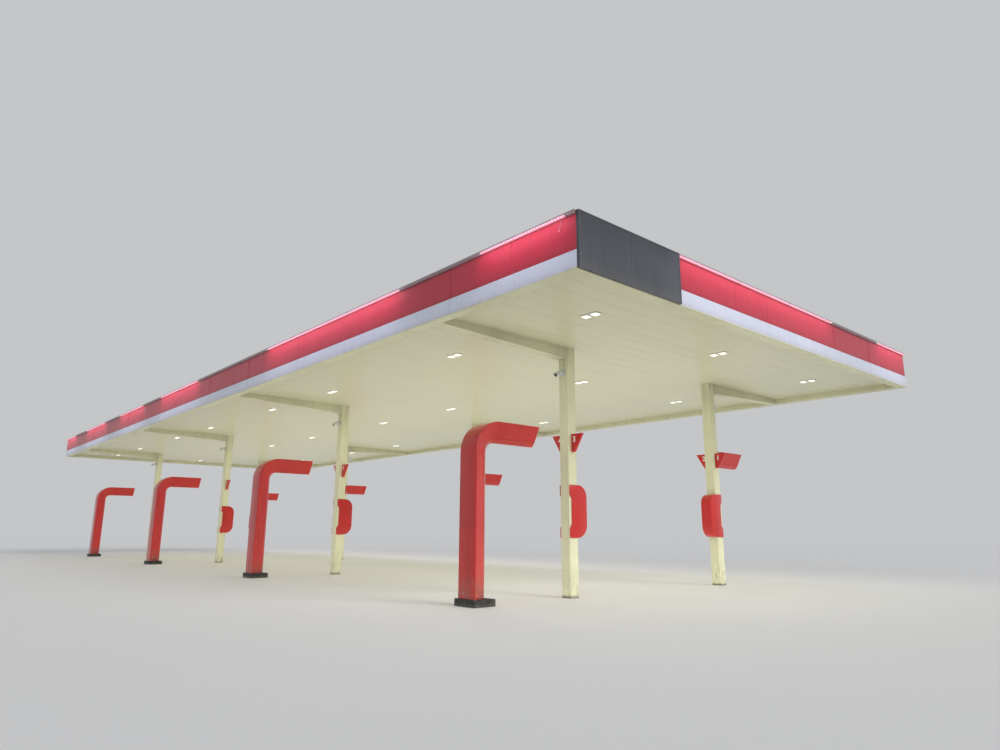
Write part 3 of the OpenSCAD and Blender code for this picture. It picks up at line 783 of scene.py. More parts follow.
def half_depth(low, high):
    """Half the size, along the roof, of what stands on each line of columns."""
    return (high.y - low.y - (LINES[3] - LINES[0])) / 2


# Operators


class CanopyOperator:
    """Shared by the operators: the settings of the scene."""

    bl_options = {"REGISTER"}

    @property
    def colours(self):
        return bpy.context.scene.canopy_colours

    @property
    def sizes(self):
        return bpy.context.scene.canopy_sizes


class CANOPY_OT_steelwork(CanopyOperator, bpy.types.Operator):
    """Paints the columns, beams, deck and roof steel, and bolts them together"""

    bl_idname = "canopy.steelwork"
    bl_label = "Steelwork"

    PURLIN_W = 0.10
    # How far clips stay from the roof's two ends, and from its north end and the beams at least
    EDGE, CLEAR = 0.17, 0.2

    def execute(self, context):
        tinted_white = self.colours.warm_white
        paint_nodes(column_paint(tinted_white), *[f"column_{c}" for c in COLUMNS])
        paint_nodes(beam_paint(tinted_white), *[f"cross_beam_{i}" for i in (1, 2, 3, 4)])
        paint_nodes(deck_paint(tinted_white), *[f"deck_{i}" for i in (1, 2, 3, 4, 5)])
        paint_nodes(primer_grey(), "purlins")
        paint_nodes(gutter_paint(tinted_white), "gutters", "end_trims")
        frames = [f"fascia_frame_{place}" for place in ("west", "east", "ends")]
        paint_nodes(galvanised(), *frames, "fascia_braces")
        low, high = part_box("purlins")
        rows = [(-1 + 2 * k / 5) * (high.x - self.PURLIN_W / 2) for k in range(6)]
        self.clips(rows, low.z)
        self.cleats(rows, low.z)
        return {"FINISHED"}

    def clips(self, rows, z):
        """Clips that hold the ribs of the deck to the purlins"""
        bm = bmesh.new()
        block(bm, (0.034, -0.016, 0.0102), (0.078, 0.016, 0.0142), 0.0012)
        block(bm, (0.062, -0.016, -0.030), (0.066, 0.016, 0.0102), 0.0012)
        drum(bm, at((0.048, 0, 0.0142)), 0.007, 0.006, 6, 0.001)
        part = part_object(bm, "clip")
        places = []
        outside = int((LINES[0] + HALF_L - self.EDGE) / PAN - 0.5)
        for k in range(-outside, int((LINES[3] - LINES[0]) / PAN) + outside + 1):
            y = LINES[0] + (k + 0.5) * PAN
            if y > HALF_L - self.CLEAR or min(abs(y - line) for line in LINES) < self.CLEAR:
                continue
            for row, x in enumerate(rows):
                places.append(((x, y, z), (0, 0, math.pi * ((k + row) % 2))))
        fix("deck_clips", part, places=places)

    @staticmethod
    def cleats(rows, z):
        """Bolted angle cleats between the purlins and the cross beams"""
        bm = bmesh.new()
        foot, head = 0.045, 0.205
        first, sheet = 0.0035, 0.008
        block(bm, (first, 0.0, foot), (first + sheet, 0.10, head), 0.001)
        block(bm, (first + sheet, 0.0, foot), (0.095, sheet, head), 0.001)
        for h in (0.085, 0.165):
            drum(bm, at((first + sheet, 0.062, h), "east"), 0.014, 0.010, 6, 0.0015)
            drum(bm, at((0.058, sheet, h), "north"), 0.014, 0.010, 6, 0.0015)
        places = [((x, line + s * COLUMN_W / 2, z), (0, 0, 0 if s > 0 else math.pi))
                  for line in LINES for x in rows for s in (1, -1)]
        fix("purlin_cleats", part_object(bm, "cleat"), places=places)


class CANOPY_OT_fascia(CanopyOperator, bpy.types.Operator):
    """Paints the fascia trays and adds their joints, screws and drip trim"""

    bl_idname = "canopy.fascia"
    bl_label = "Fascia"

    EVEN = [TRAY * k for k in range(1, 12)]
    JOINTS = {"west": EVEN, "east": EVEN, "south": (5.60, 8.60, 10.50), "north": (2.30, 4.20, 7.20)}

    def execute(self, context):
        red, white = self.colours.red, self.colours.cool_white
        self.trays("red", red, RED_Z, FASCIA_TOP, BAR_FOOT, (0.16, 0.012, 0.020), (0.30, 0.10, 0.10))
        self.trays("white", white, FASCIA_Z, RED_Z, RED_Z, (0.30, 0.30, 0.32), (0.4, 0.4, 0.42))
        self.screws()
        self.drip()
        return {"FINISHED"}

    def trays(self, name, colour, low, high, joint_top, dirt, drip):
        """Paints one row of trays and adds the two folds at each joint between them"""
        sheet = fascia_sheet(f"fascia_{name}_sheet", colour, low, high, dirt, drip)
        paint_nodes(sheet, *[f"fascia_{name}_{side}" for side in SIDES])
        bm = bmesh.new()
        for side in SIDES:
            for joint in self.JOINTS[side]:
                for fold in (joint - 0.011, joint + 0.011):
                    foot = on_side(side, 0, low, fold - 0.008)
                    block(bm, foot, on_side(side, 0.0022, joint_top, fold + 0.008), 0.0008)
        keep_built(f"fascia_{name}_joints", bm, sheet, f"fascia_{name}")

    def screws(self):
        """Three rows of screws round the roof"""
        runs = []
        for side in SIDES:
            start, end = SPAN[side]
            for z in (FASCIA_Z + 0.030, RED_Z - 0.020, RED_Z + 0.022):
                first, last = [on_side(side, 0, z, along) for along in (start + 0.15, end - 0.15)]
                runs.append((first, last, FACING[side]))
        fix("fascia_screws", dome_screw(), runs=runs,
            Pitch=self.sizes.screw_pitch, Spin=1.5)

    def drip(self):
        """A light folded trim along the foot of the fascia, back to the gutters"""
        back = -HALF_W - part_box("gutters")[0].x
        section = [
            (back, -0.008), (0.010, -0.008), (0.010, 0.004), (0.005, 0.016), (0.0004, 0.016),
            (0.0004, -0.0004), (back, -0.0004),
        ]
        outline = rounded([(out, FASCIA_Z + rise) for out, rise in section], 0.0015, 1)
        bm = bmesh.new()
        skin(bm, [[(x * (HALF_W + out), y * (HALF_L + out), z) for out, z in outline] for x, y in CORNERS],
             around=True)
        keep_built("drip_trim", bm, gutter_paint(self.colours.warm_white), "gutter_paint")


class CANOPY_OT_light_bars(CanopyOperator, bpy.types.Operator):
    """Builds the light bars: channels, lit and dead lenses, and couplers"""

    bl_idname = "canopy.light_bars"
    bl_label = "Light bars"

    QUARTER = [math.pi / 2 * k / 8 for k in range(9)]
    # The corners that the bars turn round, and the heading where each turn starts
    TURNS = ((1, -1, -math.pi / 2), (-1, 1, math.pi / 2), (1, 1, 0))

    def stretches(self, side):
        """The bar of a side as (start, end, lit) pieces, each about a module long at most."""
        here, end = SPAN[side]
        cuts = [cut for stretch in LIT[side] for cut in zip(stretch, (True, False))]
        made = []
        lit = False
        for cut, turns_on in [*cuts, (end, False)]:
            if cut > here + 1e-6:
                count = max(1, math.ceil((cut - here) / self.sizes.bar_module - 0.02))
                stops = [here + (cut - here) * k / count for k in range(count + 1)]
                made += [(low, high, lit) for low, high in zip(stops, stops[1:])]
            here, lit = max(here, cut), turns_on
        return made

    def belly(self, grow=0.0):
        """The lower front quarter of a bar's section"""
        middle = FASCIA_TOP - 0.028
        across, down = 0.0342 + grow, 0.0345 + grow
        return [(0.022 + across * math.cos(t), middle - down * math.sin(t)) for t in self.QUARTER]

    def lens_outline(self):
        top, foot = FASCIA_TOP - 0.006, FASCIA_TOP - 0.0615
        return [(0.006, top), (0.046, top), (0.0562, top - 0.010), *self.belly(), (0.006, foot)]

    @staticmethod
    def channel_outline():
        """A back plate with a hood over the top and the upper front"""
        points = [
            (0.0005, 0), (0.046, 0), (0.0565, 0.006), (0.0592, 0.014), (0.0592, 0.027), (0.0566, 0.027),
            (0.0566, 0.015), (0.0546, 0.008), (0.045, 0.0035), (0.0045, 0.0035), (0.0045, 0.0605),
            (0.014, 0.0605), (0.014, BAR_H), (0.0005, BAR_H),
        ]
        return [(out, FASCIA_TOP - drop) for out, drop in points]

    def coupler_outline(self):
        low, high = FASCIA_TOP - 0.0655, FASCIA_TOP + 0.001
        hood = [(0.0598, high - 0.013), (0.048, high), (0.0005, high)]
        return [(0.0005, low), *reversed(self.belly(0.003)), *hood]

    def execute(self, context):
        channel = anodised()
        lit_lens = frosted_lens("lit_lens", (0.34, 0.22, 0.25), self.colours.glow, self.sizes.bar_strength)
        dead_lens = frosted_lens("dead_lens", (0.30, 0.20, 0.22))
        lit, dead, body, couplers = [bmesh.new() for _ in range(4)]
        lens, back, coupler = self.lens_outline(), self.channel_outline(), self.coupler_outline()
        for side in SIDES:
            place = functools.partial(on_side, side)
            prism(body, back, place, SPAN[side])
            for low, high, is_lit in self.stretches(side):
                prism(lit if is_lit else dead, lens, place, (low + 0.004, high - 0.004))
                if low > SPAN[side][0] + 0.01:
                    prism(couplers, coupler, place, (low - 0.014, low + 0.014))
        for turn in self.TURNS:
            self.corner(lit, lens, *turn)
            self.corner(body, back, *turn)
        keep_built(
            "light_lenses_lit", lit, lit_lens, "light_bar", "light_bar_west", "light_bar_south", angle=40)
        keep_built("light_lenses_dead", dead, dead_lens, "light_bar", angle=40)
        keep_built("light_channels", body, channel, "light_bar", "light_bar_east", "light_bar_north")
        keep_built("light_couplers", couplers, channel, "light_bar", angle=40)
        # Painted glint: glowing glass on two small domes at the ends of lit stretches
        self.end_lights(lamp_glass("glint_dome_glass", (0.80, 0.90, 1.0), self.sizes.bar_strength))
        self.loose_tape(dead_lens, lit_lens)
        return {"FINISHED"}

    def corner(self, bm, outline, x, y, start):
        """A quarter turn of an outline round a corner of the roof"""
        def place(out, z, t):
            return x * HALF_W + out * math.cos(t), y * HALF_L + out * math.sin(t), z
        prism(bm, outline, place, [start + t for t in self.QUARTER])

    @staticmethod
    def end_lights(material):
        """Small glowing domes at two ends of the south bar, where lit stretches end: a painted glint"""
        bm = bmesh.new()
        for along in (8.42, 10.985):
            place = on_side("south", 0.050, FASCIA_TOP - 0.036, along)
            drum(bm, at(place, "south"), 0.0160, 0.009, 16, 0.004)
        keep_built("light_ends", bm, material, "light_bar", angle=40)

    @staticmethod
    def loose_tape(tape, chip):
        """A short flat tape of lights that has dropped out of the west bar"""
        top, length = BAR_FOOT + 0.002, 0.17

        def lean(s):
            return 0.29 + 0.055 * s + 0.006 * math.sin(2.6 * s)

        def place(out, sideways, s):
            return on_side("west", out, top - length * s, lean(s) + sideways)

        bm = bmesh.new()
        section = [(0.0006, -0.006), (0.0026, -0.006), (0.0026, 0.006), (0.0006, 0.006)]
        prism(bm, section, place, [k / 12 for k in range(13)])
        keep_built("loose_light_tape", bm, tape, "light_bar")
        bm = bmesh.new()
        for s, half in ((0.15, 0.005), (0.40, 0.006), (0.65, 0.005), (0.96, 0.012)):
            z = top - length * s
            block(bm, on_side("west", 0.0024, z - half, lean(s) - half),
                  on_side("west", 0.0065, z + half, lean(s) + half), 0.001)
        keep_built("loose_light_chips", bm, chip, "light_bar")


class CANOPY_OT_sign_panel(CanopyOperator, bpy.types.Operator):
    """Softens the bare sign panel and rims it with screws"""

    bl_idname = "canopy.sign_panel"
    bl_label = "Sign panel"

    def execute(self, context):
        softened("sign_panel", "sign_box", 0.004, charcoal_panel(self.colours.charcoal), "sign_grey")
        low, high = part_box("sign_panel")
        inset, clear = 0.012, 0.2
        x0, x1, z0, z1 = low.x + inset, high.x - inset, low.z + inset, high.z - inset
        runs = [((x0, low.y, z), (x1, low.y, z), FACING["south"]) for z in (z0, z1)]
        runs += [((x, low.y, z0 + clear), (x, low.y, z1 - clear), FACING["south"]) for x in (x0, x1)]
        fix("sign_screws", dome_screw(0.006), runs=runs, Pitch=0.28, Spin=1.5)
        return {"FINISHED"}


class CANOPY_OT_lamps(CanopyOperator, bpy.types.Operator):
    """Builds the soffit lamps: housings, framed bezels and prismatic lenses"""

    bl_idname = "canopy.lamps"
    bl_label = "Lamps"

    # Half the width of one square lens in its frame
    HALF = 0.075

    def execute(self, context):
        body = white_casting("lamp_casting", (0.62, 0.61, 0.55))
        softened("lamp_housings", "lamp_bodies", 0.003, body, "lamp_body", segments=1)
        low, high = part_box("lamp_lenses")
        z = high.z
        off = high.y - LAMPS[-1][1] - self.HALF
        places = [((x, y + s * off, z), (0, 0, 0)) for x, y in LAMPS for s in (-1, 1)]
        glass = lamp_glass("lamp_lens_glass", (1.0, 0.965, 0.82), self.sizes.lamp_strength)
        repeat("lamp_glasses", self.lens(z - low.z), glass, "lamp_lens", "lamp_lenses", places=places)
        repeat("lamp_frames", self.frame(), body, "lamp_body", places=places)
        across, along = self.HALF + 0.008, off + self.HALF - 0.012
        screws = [((x + a * across, y + b * along, z), (math.pi, 0, 0))
                  for x, y in LAMPS for a in (-1, 1) for b in (-1, 1)]
        fix("lamp_screws", dome_screw(0.005), places=screws, Spin=1.5)
        return {"FINISHED"}

    def lens(self, drop):
        """A pressed glass dish with rows of small pyramids on its face"""
        cells, peak_h = 6, 0.0025
        half = self.HALF - 0.006
        inner = half - 0.026
        bm = bmesh.new()
        top, mid = [[bm.verts.new((x * half, y * half, z)) for x, y in CORNERS] for z in (0, -drop * 0.45)]
        lines = range(cells + 1)
        stops = [-inner + 2 * inner * k / cells for k in lines]
        foot = -drop + peak_h
        grid = {(i, j): bm.verts.new((stops[i], stops[j], foot)) for i in lines for j in lines}
        for i in range(cells):
            for j in range(cells):
                ring = [grid[i, j], grid[i + 1, j], grid[i + 1, j + 1], grid[i, j + 1]]
                peak = bm.verts.new(sum((v.co for v in ring), Vector()) / 4 - Vector((0, 0, peak_h)))
                for a, b in zip(ring, ring[1:] + ring[:1]):
                    bm.faces.new((a, b, peak))
        edges = ([grid[i, 0] for i in lines], [grid[cells, j] for j in lines],
                 [grid[i, cells] for i in reversed(lines)], [grid[0, j] for j in reversed(lines)])
        for a, edge in enumerate(edges):
            b = (a + 1) % 4
            bm.faces.new([mid[a], mid[b], *reversed(edge)])
            bm.faces.new([top[a], top[b], mid[b], mid[a]])
        bm.faces.new(top)
        return part_object(bm, "lens", 12)

    def frame(self):
        """A thin frame that clamps one lens"""
        bm = bmesh.new()
        outer, inner, z = self.HALF, self.HALF - 0.007, -0.011
        for a, b in (((-outer, -outer), (outer, -inner)), ((-outer, inner), (outer, outer)),
                     ((-outer, -inner), (-inner, inner)), ((inner, -inner), (outer, inner))):
            block(bm, (*a, z), (*b, 0.0), 0.0015)
        return part_object(bm, "frame")


# The blade's half section as (depth from the outer face, half width), and its leaning flank
HALF_BLADE = [(0.0, 0.24), (0.02, 0.24), (0.312, 0.10), (0.39, 0.03)]
FLANK_FROM, FLANK_TO = HALF_BLADE[1:3]
LEAN = math.atan2(FLANK_FROM[1] - FLANK_TO[1], FLANK_TO[0] - FLANK_FROM[0])
# A groove in the flank, just outside the waist: how deep, and where it starts and ends
GROOVE = (0.005, 0.295, 0.301)
# How deep the seams across the blade are
SEAM = 0.004
# Where the rivets of the flanks sit
RIVET_DEPTH, RIVET_SIDE = 0.034, 0.2335


def blade_outline(radius):
    """The section's outline, its corners rounded and a groove along each side"""
    (x0, y0), (x1, y1) = FLANK_FROM, FLANK_TO
    depth, first, last = GROOVE
    marks = [(first, 0), (first + 0.001, depth), (last - 0.001, depth), (last, 0)]
    groove = [(x, y0 + (y1 - y0) * (x - x0) / (x1 - x0) - inset) for x, inset in marks]
    corners = rounded([(x, -y) for x, y in HALF_BLADE] + HALF_BLADE[::-1], radius)
    made = []
    for here, ahead in zip(corners, corners[1:] + corners[:1]):
        made.append(here)
        if here[0] < first and ahead[0] > last:
            made += [(x, -y) for x, y in groove]
        if here[0] > last and ahead[0] < first:
            made += reversed(groove)
    return made


def sweep_blade(bm, stations, outline):
    """The blade's closed skin through stations of (point, inward, inset)."""
    width, thickness = 2 * HALF_BLADE[0][1], HALF_BLADE[-1][0]
    rings = []
    for point, inward, inset in stations:
        deep, wide = 1 - 2 * inset / thickness, 1 - 2 * inset / width
        rings.append([point + inward * (inset + depth * deep) + Vector((0, side * wide, 0))
                      for depth, side in outline])
    skin(bm, rings)


def with_seams(run, seams, make):
    """Stations along a run, with a narrow groove at each seam."""
    seams = {round(s, 5) for s in seams}
    made = []
    for s in sorted({*run, *seams}):
        if s in seams:
            made += [make(s - 0.004, 0), make(s - 0.0025, SEAM), make(s + 0.0025, SEAM), make(s + 0.004, 0)]
        else:
            made.append(make(s, 0))
    return made


def arm_from(x, y, z):
    """Makes stations of an arm that runs east from a point on its top face."""
    return lambda s, inset: (Vector((x + s, y, z)), Vector((0, 0, -1)), inset)


def arm_rivets(first, last, line, top, s):
    """A row of rivets on one flank of an arm"""
    y, z = line + s * RIVET_SIDE, top - RIVET_DEPTH
    return (first, y, z), (last, y, z), (-s * (math.pi / 2 + LEAN), 0, 0)


def keep_rivets(name, material, runs):
    pitch = bpy.context.scene.canopy_sizes.rivet_pitch
    repeat(name, dome_screw(0.006, 0.0025), material, "arch_red", runs=runs, Pitch=pitch)


class CANOPY_OT_arches(CanopyOperator, bpy.types.Operator):
    """Sweeps the four red arches, with their joints, rivets and black plinths"""

    bl_idname = "canopy.arches"
    bl_label = "Arches"

    # The radius of the bend, and heights of the rings and of the seams along a post
    BEND = 0.58
    POST_RINGS = (0.5, 1.0, 2.0, 2.4)
    POST_SEAMS = (0.255, 1.385, 1.44)

    def stations(self, x, y, foot, top, reach):
        """An arch from its foot, up the post, round the bend and out along its arm"""
        bend = top - self.BEND

        def post(z, inset):
            return Vector((x, y, z)), Vector((1, 0, 0)), inset

        made = with_seams([foot, *self.POST_RINGS, bend - 0.02], self.POST_SEAMS, post)
        pivot = Vector((x + self.BEND, y, bend))
        for k in range(1, 24):
            t = math.pi / 2 * k / 24
            inward = Vector((math.cos(t), 0, -math.sin(t)))
            made.append((pivot - inward * self.BEND, inward, 0))
        seams = [self.BEND + 0.06, self.BEND + 0.17]
        return made + with_seams([self.BEND + 0.01, 1.0, reach], seams, arm_from(x, y, top))

    def execute(self, context):
        red = gloss_red("arch_gloss_red", self.colours.gloss_red)
        low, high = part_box("arches")
        outline = blade_outline(self.sizes.edge_round)
        bm = bmesh.new()
        for line in LINES:
            sweep_blade(bm, self.stations(low.x, line, low.z, high.z, high.x - low.x), outline)
        keep_built("arch_shells", bm, red, "arch_red", "arches", angle=35)
        self.rivets(low, high, red)
        softened("arch_plinths", "plinth_blocks", 0.008, plinth_black(), "plinth_black")
        self.bolts()
        return {"FINISHED"}

    def rivets(self, low, high, material):
        """Rivets along the flanks of the post and the arm"""
        runs = []
        for line in LINES:
            for s in (-1, 1):
                normal = Vector((math.sin(LEAN), s * math.cos(LEAN), 0))
                turn = Vector((0, 0, 1)).rotation_difference(normal).to_euler()
                start = Vector((low.x + RIVET_DEPTH, line + s * RIVET_SIDE, low.z + 0.12))
                runs.append((start, start + Vector((0, 0, 2.3)), turn))
                runs.append(arm_rivets(low.x + self.BEND + 0.25, high.x - 0.06, line, high.z, s))
        keep_rivets("arch_rivets", material, runs)

    @staticmethod
    def bolts():
        """A bolt in each corner of each plinth"""
        low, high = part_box("arch_plinths")
        inset = 0.022
        half = half_depth(low, high) - inset
        places = [((x, line + s * half, high.z), (0, 0, 0))
                  for line in LINES for x in (low.x + inset, high.x - inset) for s in (-1, 1)]
        fix("plinth_bolts", hex_bolt(0.009, 0.007), places=places, Spin=1.0)


class CANOPY_OT_blade_arms(CanopyOperator, bpy.types.Operator):
    """Sweeps the red arms of the east columns"""

    bl_idname = "canopy.blade_arms"
    bl_label = "Blade arms"

    def execute(self, context):
        red = gloss_red("arm_gloss_red", self.colours.gloss_red)
        low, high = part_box("blade_arms")
        outline = blade_outline(self.sizes.edge_round)
        bm = bmesh.new()
        for line in LINES:
            stations = with_seams([0, 0.5, high.x - low.x], [0.11], arm_from(low.x, line, high.z))
            sweep_blade(bm, stations, outline)
        keep_built("arm_shells", bm, red, "arch_red", "blade_arms", angle=35)
        runs = [arm_rivets(low.x + 0.18, high.x - 0.06, line, high.z, s) for line in LINES for s in (-1, 1)]
        keep_rivets("arm_rivets", red, runs)
        return {"FINISHED"}


class CANOPY_OT_number_flags(CanopyOperator, bpy.types.Operator):
    """Builds the number flags and their plain numerals"""

    bl_idname = "canopy.number_flags"
    bl_label = "Number flags"

    NUMBERS = {
        "b1": (1, 2), "a1": (3, 4), "b2": (5, 6), "a2": (7, 8),
        "b3": (9, 10), "a3": (11, 12), "a4": (15, 16), "b4": (13, 14),
    }
    # The middle of a numeral: how far from the column's face, and below the top of the flag
    OFF, DOWN = 0.082, 0.120

    def execute(self, context):
        red = gloss_red("flag_gloss_red", self.colours.gloss_red)
        softened("number_flags", "flag_boxes", 0.006, red, "arch_red", angle=25)
        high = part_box("number_flags")[1]
        half_t = high.x - ROW_X
        bm = bmesh.new()
        for column, (south, north) in self.NUMBERS.items():
            x = centre(column)[0]
            low_face, high_face = [corner.y for corner in COLUMNS[column]]
            for number, y in ((south, low_face - self.OFF), (north, high_face + self.OFF)):
                for look in (-1, 1):
                    self.numeral(bm, str(number), x + look * half_t, y, high.z - self.DOWN, look)
        keep_built("flag_numerals", bm, numeral_white(), "camera_white")
        return {"FINISHED"}

    @staticmethod
    def numeral(bm, text, x, y, z, look):
        """A raised numeral on the west (-1) or east (+1) face of a flag"""
        curve = bpy.data.curves.new("numeral", "FONT")
        curve.body = text
        curve.size = 0.165 if len(text) == 1 else 0.130
        curve.align_x, curve.align_y = "CENTER", "CENTER"
        curve.extrude, curve.offset = 0.0012, 0.0045
        curve.resolution_u = 3
        mesh = evaluated_mesh(new_object("numeral", curve), "numeral")
        turn = axes((0, look, 0), (0, 0, 1), (look, 0, 0))
        mesh.transform(Matrix.Translation((x + look * 0.0008, y, z)) @ turn)
        bm.from_mesh(mesh)
        bpy.data.meshes.remove(mesh)
        bpy.data.curves.remove(curve)


class CANOPY_OT_service_units(CanopyOperator, bpy.types.Operator):
    """Builds the red service units on the columns"""

    bl_idname = "canopy.service_units"
    bl_label = "Service units"

    def execute(self, context):
        red = gloss_red("unit_gloss_red", self.colours.gloss_red)
        softened("service_units", "unit_hoods", 0.008, red, "arch_red", angle=40)
        low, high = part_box("service_units")
        half = half_depth(low, high)
        # The height of each bead, and its two ends, from the middle of the column inwards
        bead_rows = ((low.z + 0.236, -0.094, 0.380), (high.z - 0.248, -0.080, 0.384))
        beads = bmesh.new()
        rivets = []
        for column in COLUMNS:
            x, y = centre(column)
            inner = 1 if column[0] == "a" else -1
            for s in (-1, 1):
                face = y + s * half
                for z, near, far in bead_rows:
                    corner = (x + inner * near, face, z)
                    block(beads, corner, (x + inner * far, face + s * 0.0025, z + 0.007), 0.0008)
                for z in (low.z + 0.03, low.z + 0.20, high.z - 0.20, high.z - 0.03):
                    rivets.append(((x - inner * 0.095, face, z), (-s * math.pi / 2, 0, 0)))
        keep_built("unit_beads", beads, red, "arch_red")
        fix("unit_rivets", dome_screw(0.008), places=rivets, Spin=1.0)
        return {"FINISHED"}


class CANOPY_OT_cameras(CanopyOperator, bpy.types.Operator):
    """Builds the small cameras on the outer faces of the columns"""

    bl_idname = "canopy.cameras"
    bl_label = "Cameras"

    HEIGHT = 4.64
    TILT = math.radians(25)

    def execute(self, context):
        casting, glass = white_casting("camera_casting", (0.60, 0.61, 0.60)), tinted_glass()
        axis = at((0.128, 0, -0.040)) @ Matrix.Rotation(math.pi / 2 + self.TILT, 4, "Y")
        body = bmesh.new()
        self.bracket(body)
        # Its rounded back, and its barrel
        drum(body, axis @ at((0, 0, -0.115)), 0.044, 0.05, 24, 0.008, radius_end=0.055)
        drum(body, axis @ at((0, 0, -0.068)), 0.0545, 0.17, 24, 0.004)
        self.hood(body, axis)
        self.screws(body)
        front = bmesh.new()
        drum(front, axis @ at((0, 0, 0.100)), 0.036, 0.0055, 24, 0.002)
        self.at_columns("camera_bodies", body, casting, "cameras")
        self.at_columns("camera_fronts", front, glass)
        return {"FINISHED"}

    def at_columns(self, name, camera, material, *nodes):
        """Puts a camera's mesh on the outer face of each column"""
        bm = bmesh.new()
        shape = close(camera, name)
        for column, (low, high) in COLUMNS.items():
            out, x = (-1, low.x) if column[0] == "a" else (1, high.x)
            placed = shape.copy()
            placed.transform(at((x, centre(column)[1], self.HEIGHT)) @ Matrix.Diagonal((out, 1, 1, 1)))
            bm.from_mesh(placed)
            bpy.data.meshes.remove(placed)
        bpy.data.meshes.remove(shape)
        keep_built(name, bm, material, "camera_white", *nodes, angle=35)

    @staticmethod
    def bracket(bm):
        """A plate on the column, a boss and a stub arm"""
        block(bm, (0, -0.060, -0.070), (0.010, 0.060, 0.070), 0.003, 2)
        drum(bm, at((0.008, 0, -0.020), "east"), 0.030, 0.020, 16, 0.004)
        drum(bm, at((0.02, 0, -0.020), "east"), 0.020, 0.115, 16, 0.002)

    @staticmethod
    def screws(bm):
        for y in (0.045, -0.045):
            for z in (-0.055, 0.055):
                drum(bm, at((0.010, y, z), "east"), 0.006, 0.003, 8, 0.001)

    @staticmethod
    def hood(bm, axis):
        """A sun hood over the camera, open below"""
        steps = 14
        arc = [math.radians(100 + 160 * k / steps) for k in range(steps + 1)]
        arcs = ((0.0575, arc), (0.0550, arc[::-1]))
        outline = [(r * math.cos(t), r * math.sin(t)) for r, run in arcs for t in run]
        prism(bm, outline, lambda a, b, s: axis @ Vector((a, b, s)), (-0.06, 0.114))


BACKDROP = (0.555, 0.563, 0.574, 1)


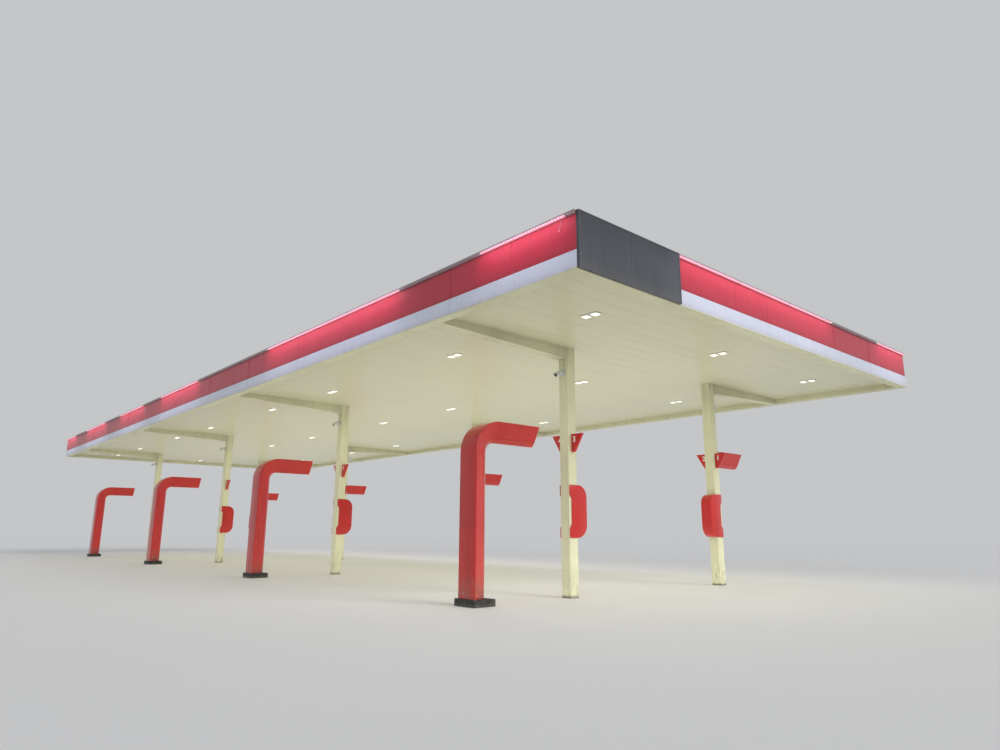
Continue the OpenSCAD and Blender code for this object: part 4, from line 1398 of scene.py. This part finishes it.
class CANOPY_OT_stage(CanopyOperator, bpy.types.Operator):
    """Sets up the floor, the soft light and the camera"""

    bl_idname = "canopy.stage"
    bl_label = "Stage"

    def execute(self, context):
        self.floor()
        self.world()
        self.lights()
        self.camera()
        context.scene.view_settings.view_transform = "Standard"
        return {"FINISHED"}

    @staticmethod
    def floor():
        """A pale floor that turns into the backdrop far out, so that no edge shows"""
        f = Finish("studio_floor", (0.72, 0.722, 0.725), 0.9)
        f.over(f.noise(0.05).spread(0.4, 0.7, 0, 0.3), (0.70, 0.702, 0.705))
        material = f.done()
        far = (f.x * f.x + f.y * f.y).calc("SQRT").spread(30, 130)
        glow = f.node("ShaderNodeEmission", {0: BACKDROP})
        mix = f.node("ShaderNodeMixShader", {0: far, 1: f.shader.outputs[0], 2: glow.outputs[0]})
        feed(f.tree, f.tree.nodes["Material Output"], {0: mix.outputs[0]})
        mesh = bpy.data.meshes.new("floor")
        reach, z = 600.0, -0.002
        mesh.from_pydata([(x * reach, y * reach, z) for x, y in CORNERS], [], [(0, 1, 2, 3)])
        paint(mesh, material)
        new_object("floor", mesh)

    @staticmethod
    def world():
        """The backdrop to the camera, and in metal and glass, and soft light on the canopy"""
        world = bpy.data.worlds.new("studio")
        bpy.context.scene.world = world
        world.use_nodes = True
        tree = world.node_tree
        tree.nodes.clear()
        seen = add_node(tree, "ShaderNodeBackground", {0: BACKDROP})
        light = add_node(tree, "ShaderNodeBackground", {0: (0.93, 0.96, 1.0, 1), 1: 0.52})
        rays = tree.nodes.new("ShaderNodeLightPath").outputs
        shown = rays["Is Camera Ray"]
        for ray in ("Is Glossy Ray", "Is Transmission Ray"):
            shown = add_node(tree, "ShaderNodeMath", {0: shown, 1: rays[ray]}, operation="MAXIMUM").outputs[0]
        mix = add_node(tree, "ShaderNodeMixShader", {0: shown, 1: light.outputs[0], 2: seen.outputs[0]})
        add_node(tree, "ShaderNodeOutputWorld", {0: mix.outputs[0]})

    def lights(self):
        """Two soft suns, light from the paving, the lamps, and the wash of the lit bars"""
        self.sun("key", (9, -44, 23), 1.55, (1.0, 0.985, 0.96))
        self.sun("side", (-48, -6, 22), 0.26, (0.96, 0.98, 1.0))
        self.area("fill_below", (0, 0, 0.03), (0, 0, 5), (12.0, 36.0), 900, (1.0, 0.985, 0.93))
        for x, y in LAMPS:
            self.area("lamp", (x, y, SOFFIT_Z - 0.05), (x, y, 0), (0.15, 0.38), 22, (1.0, 0.965, 0.86))
        for side, stretches in LIT.items():
            for low, high in stretches:
                middle, length = (low + high) / 2, high - low
                place = on_side(side, 0.26, FASCIA_TOP - 0.02, middle)
                target = on_side(side, 0.0, FASCIA_TOP - 0.36, middle)
                power = (2.5 if side == "south" else 3.4) * length
                self.area("bar_wash", place, target, (length, 0.05), power, (0.90, 0.80, 1.0), ALONG[side])

    @staticmethod
    def sun(name, towards, strength, colour):
        """A broad soft light from far away"""
        light = bpy.data.lights.new(name, "SUN")
        light.energy, light.color = strength, colour
        light.angle = math.radians(28)
        new_object(name, light).rotation_euler = Vector(towards).to_track_quat("Z", "Y").to_euler()

    @staticmethod
    def area(name, place, target, size, power, colour, run=(1, 0, 0)):
        """An area light that faces its target, its width laid along the run"""
        light = bpy.data.lights.new(name, "AREA")
        light.energy, light.color = power, colour
        light.shape = "RECTANGLE"
        light.size, light.size_y = size
        back = (Vector(place) - Vector(target)).normalized()
        across = (Vector(run) - back * back.dot(Vector(run))).normalized()
        made = new_object(name, light)
        made.matrix_world = Matrix.Translation(place) @ axes(across, back.cross(across), back)
        made.visible_camera = False
        made.visible_glossy = False

    @staticmethod
    def camera():
        studio = bpy.context.scene.canopy_studio
        data = bpy.data.cameras.new("camera")
        data.sensor_width = 36
        data.lens = studio.focal
        data.clip_end = 2000
        turns = ((-studio.yaw, "Z"), (math.pi / 2 + studio.pitch, "X"), (studio.roll, "Z"))
        yaw, pitch, roll = [Matrix.Rotation(angle, 4, axis) for angle, axis in turns]
        made = new_object("camera", data)
        made.matrix_world = Matrix.Translation(studio.eye) @ yaw @ pitch @ roll
        bpy.context.scene.camera = made


# Add-on

PIECES = (
    CANOPY_OT_steelwork, CANOPY_OT_fascia, CANOPY_OT_light_bars, CANOPY_OT_sign_panel,
    CANOPY_OT_lamps, CANOPY_OT_arches, CANOPY_OT_blade_arms, CANOPY_OT_number_flags,
    CANOPY_OT_service_units, CANOPY_OT_cameras, CANOPY_OT_stage,
)


class CANOPY_PT_panel(bpy.types.Panel):
    """Lists the canopy's settings and pieces"""

    bl_idname = "CANOPY_PT_panel"
    bl_label = "Filling station canopy"
    bl_space_type = "VIEW_3D"
    bl_region_type = "UI"
    bl_category = "Canopy"

    def draw(self, context):
        layout, scene = self.layout, context.scene
        for settings in (scene.canopy_colours, scene.canopy_sizes, scene.canopy_studio):
            box = layout.box()
            for name in settings.__annotations__:
                box.prop(settings, name)
        for operator in PIECES:
            layout.operator(operator.bl_idname)


CLASSES = (CanopyColours, CanopySizes, CanopyStudio, *PIECES, CANOPY_PT_panel)


def register():
    for kind in CLASSES:
        bpy.utils.register_class(kind)
    bpy.types.Scene.canopy_colours = bpy.props.PointerProperty(type=CanopyColours)
    bpy.types.Scene.canopy_sizes = bpy.props.PointerProperty(type=CanopySizes)
    bpy.types.Scene.canopy_studio = bpy.props.PointerProperty(type=CanopyStudio)


def unregister():
    del bpy.types.Scene.canopy_studio
    del bpy.types.Scene.canopy_sizes
    del bpy.types.Scene.canopy_colours
    for kind in reversed(CLASSES):
        bpy.utils.unregister_class(kind)


def main():
    register()
    bpy.ops.canopy.steelwork()
    bpy.ops.canopy.fascia()
    bpy.ops.canopy.light_bars()
    bpy.ops.canopy.sign_panel()
    bpy.ops.canopy.lamps()
    bpy.ops.canopy.arches()
    bpy.ops.canopy.blade_arms()
    bpy.ops.canopy.number_flags()
    bpy.ops.canopy.service_units()
    bpy.ops.canopy.cameras()
    bpy.ops.canopy.stage()


if __name__ == "__main__":
    main()
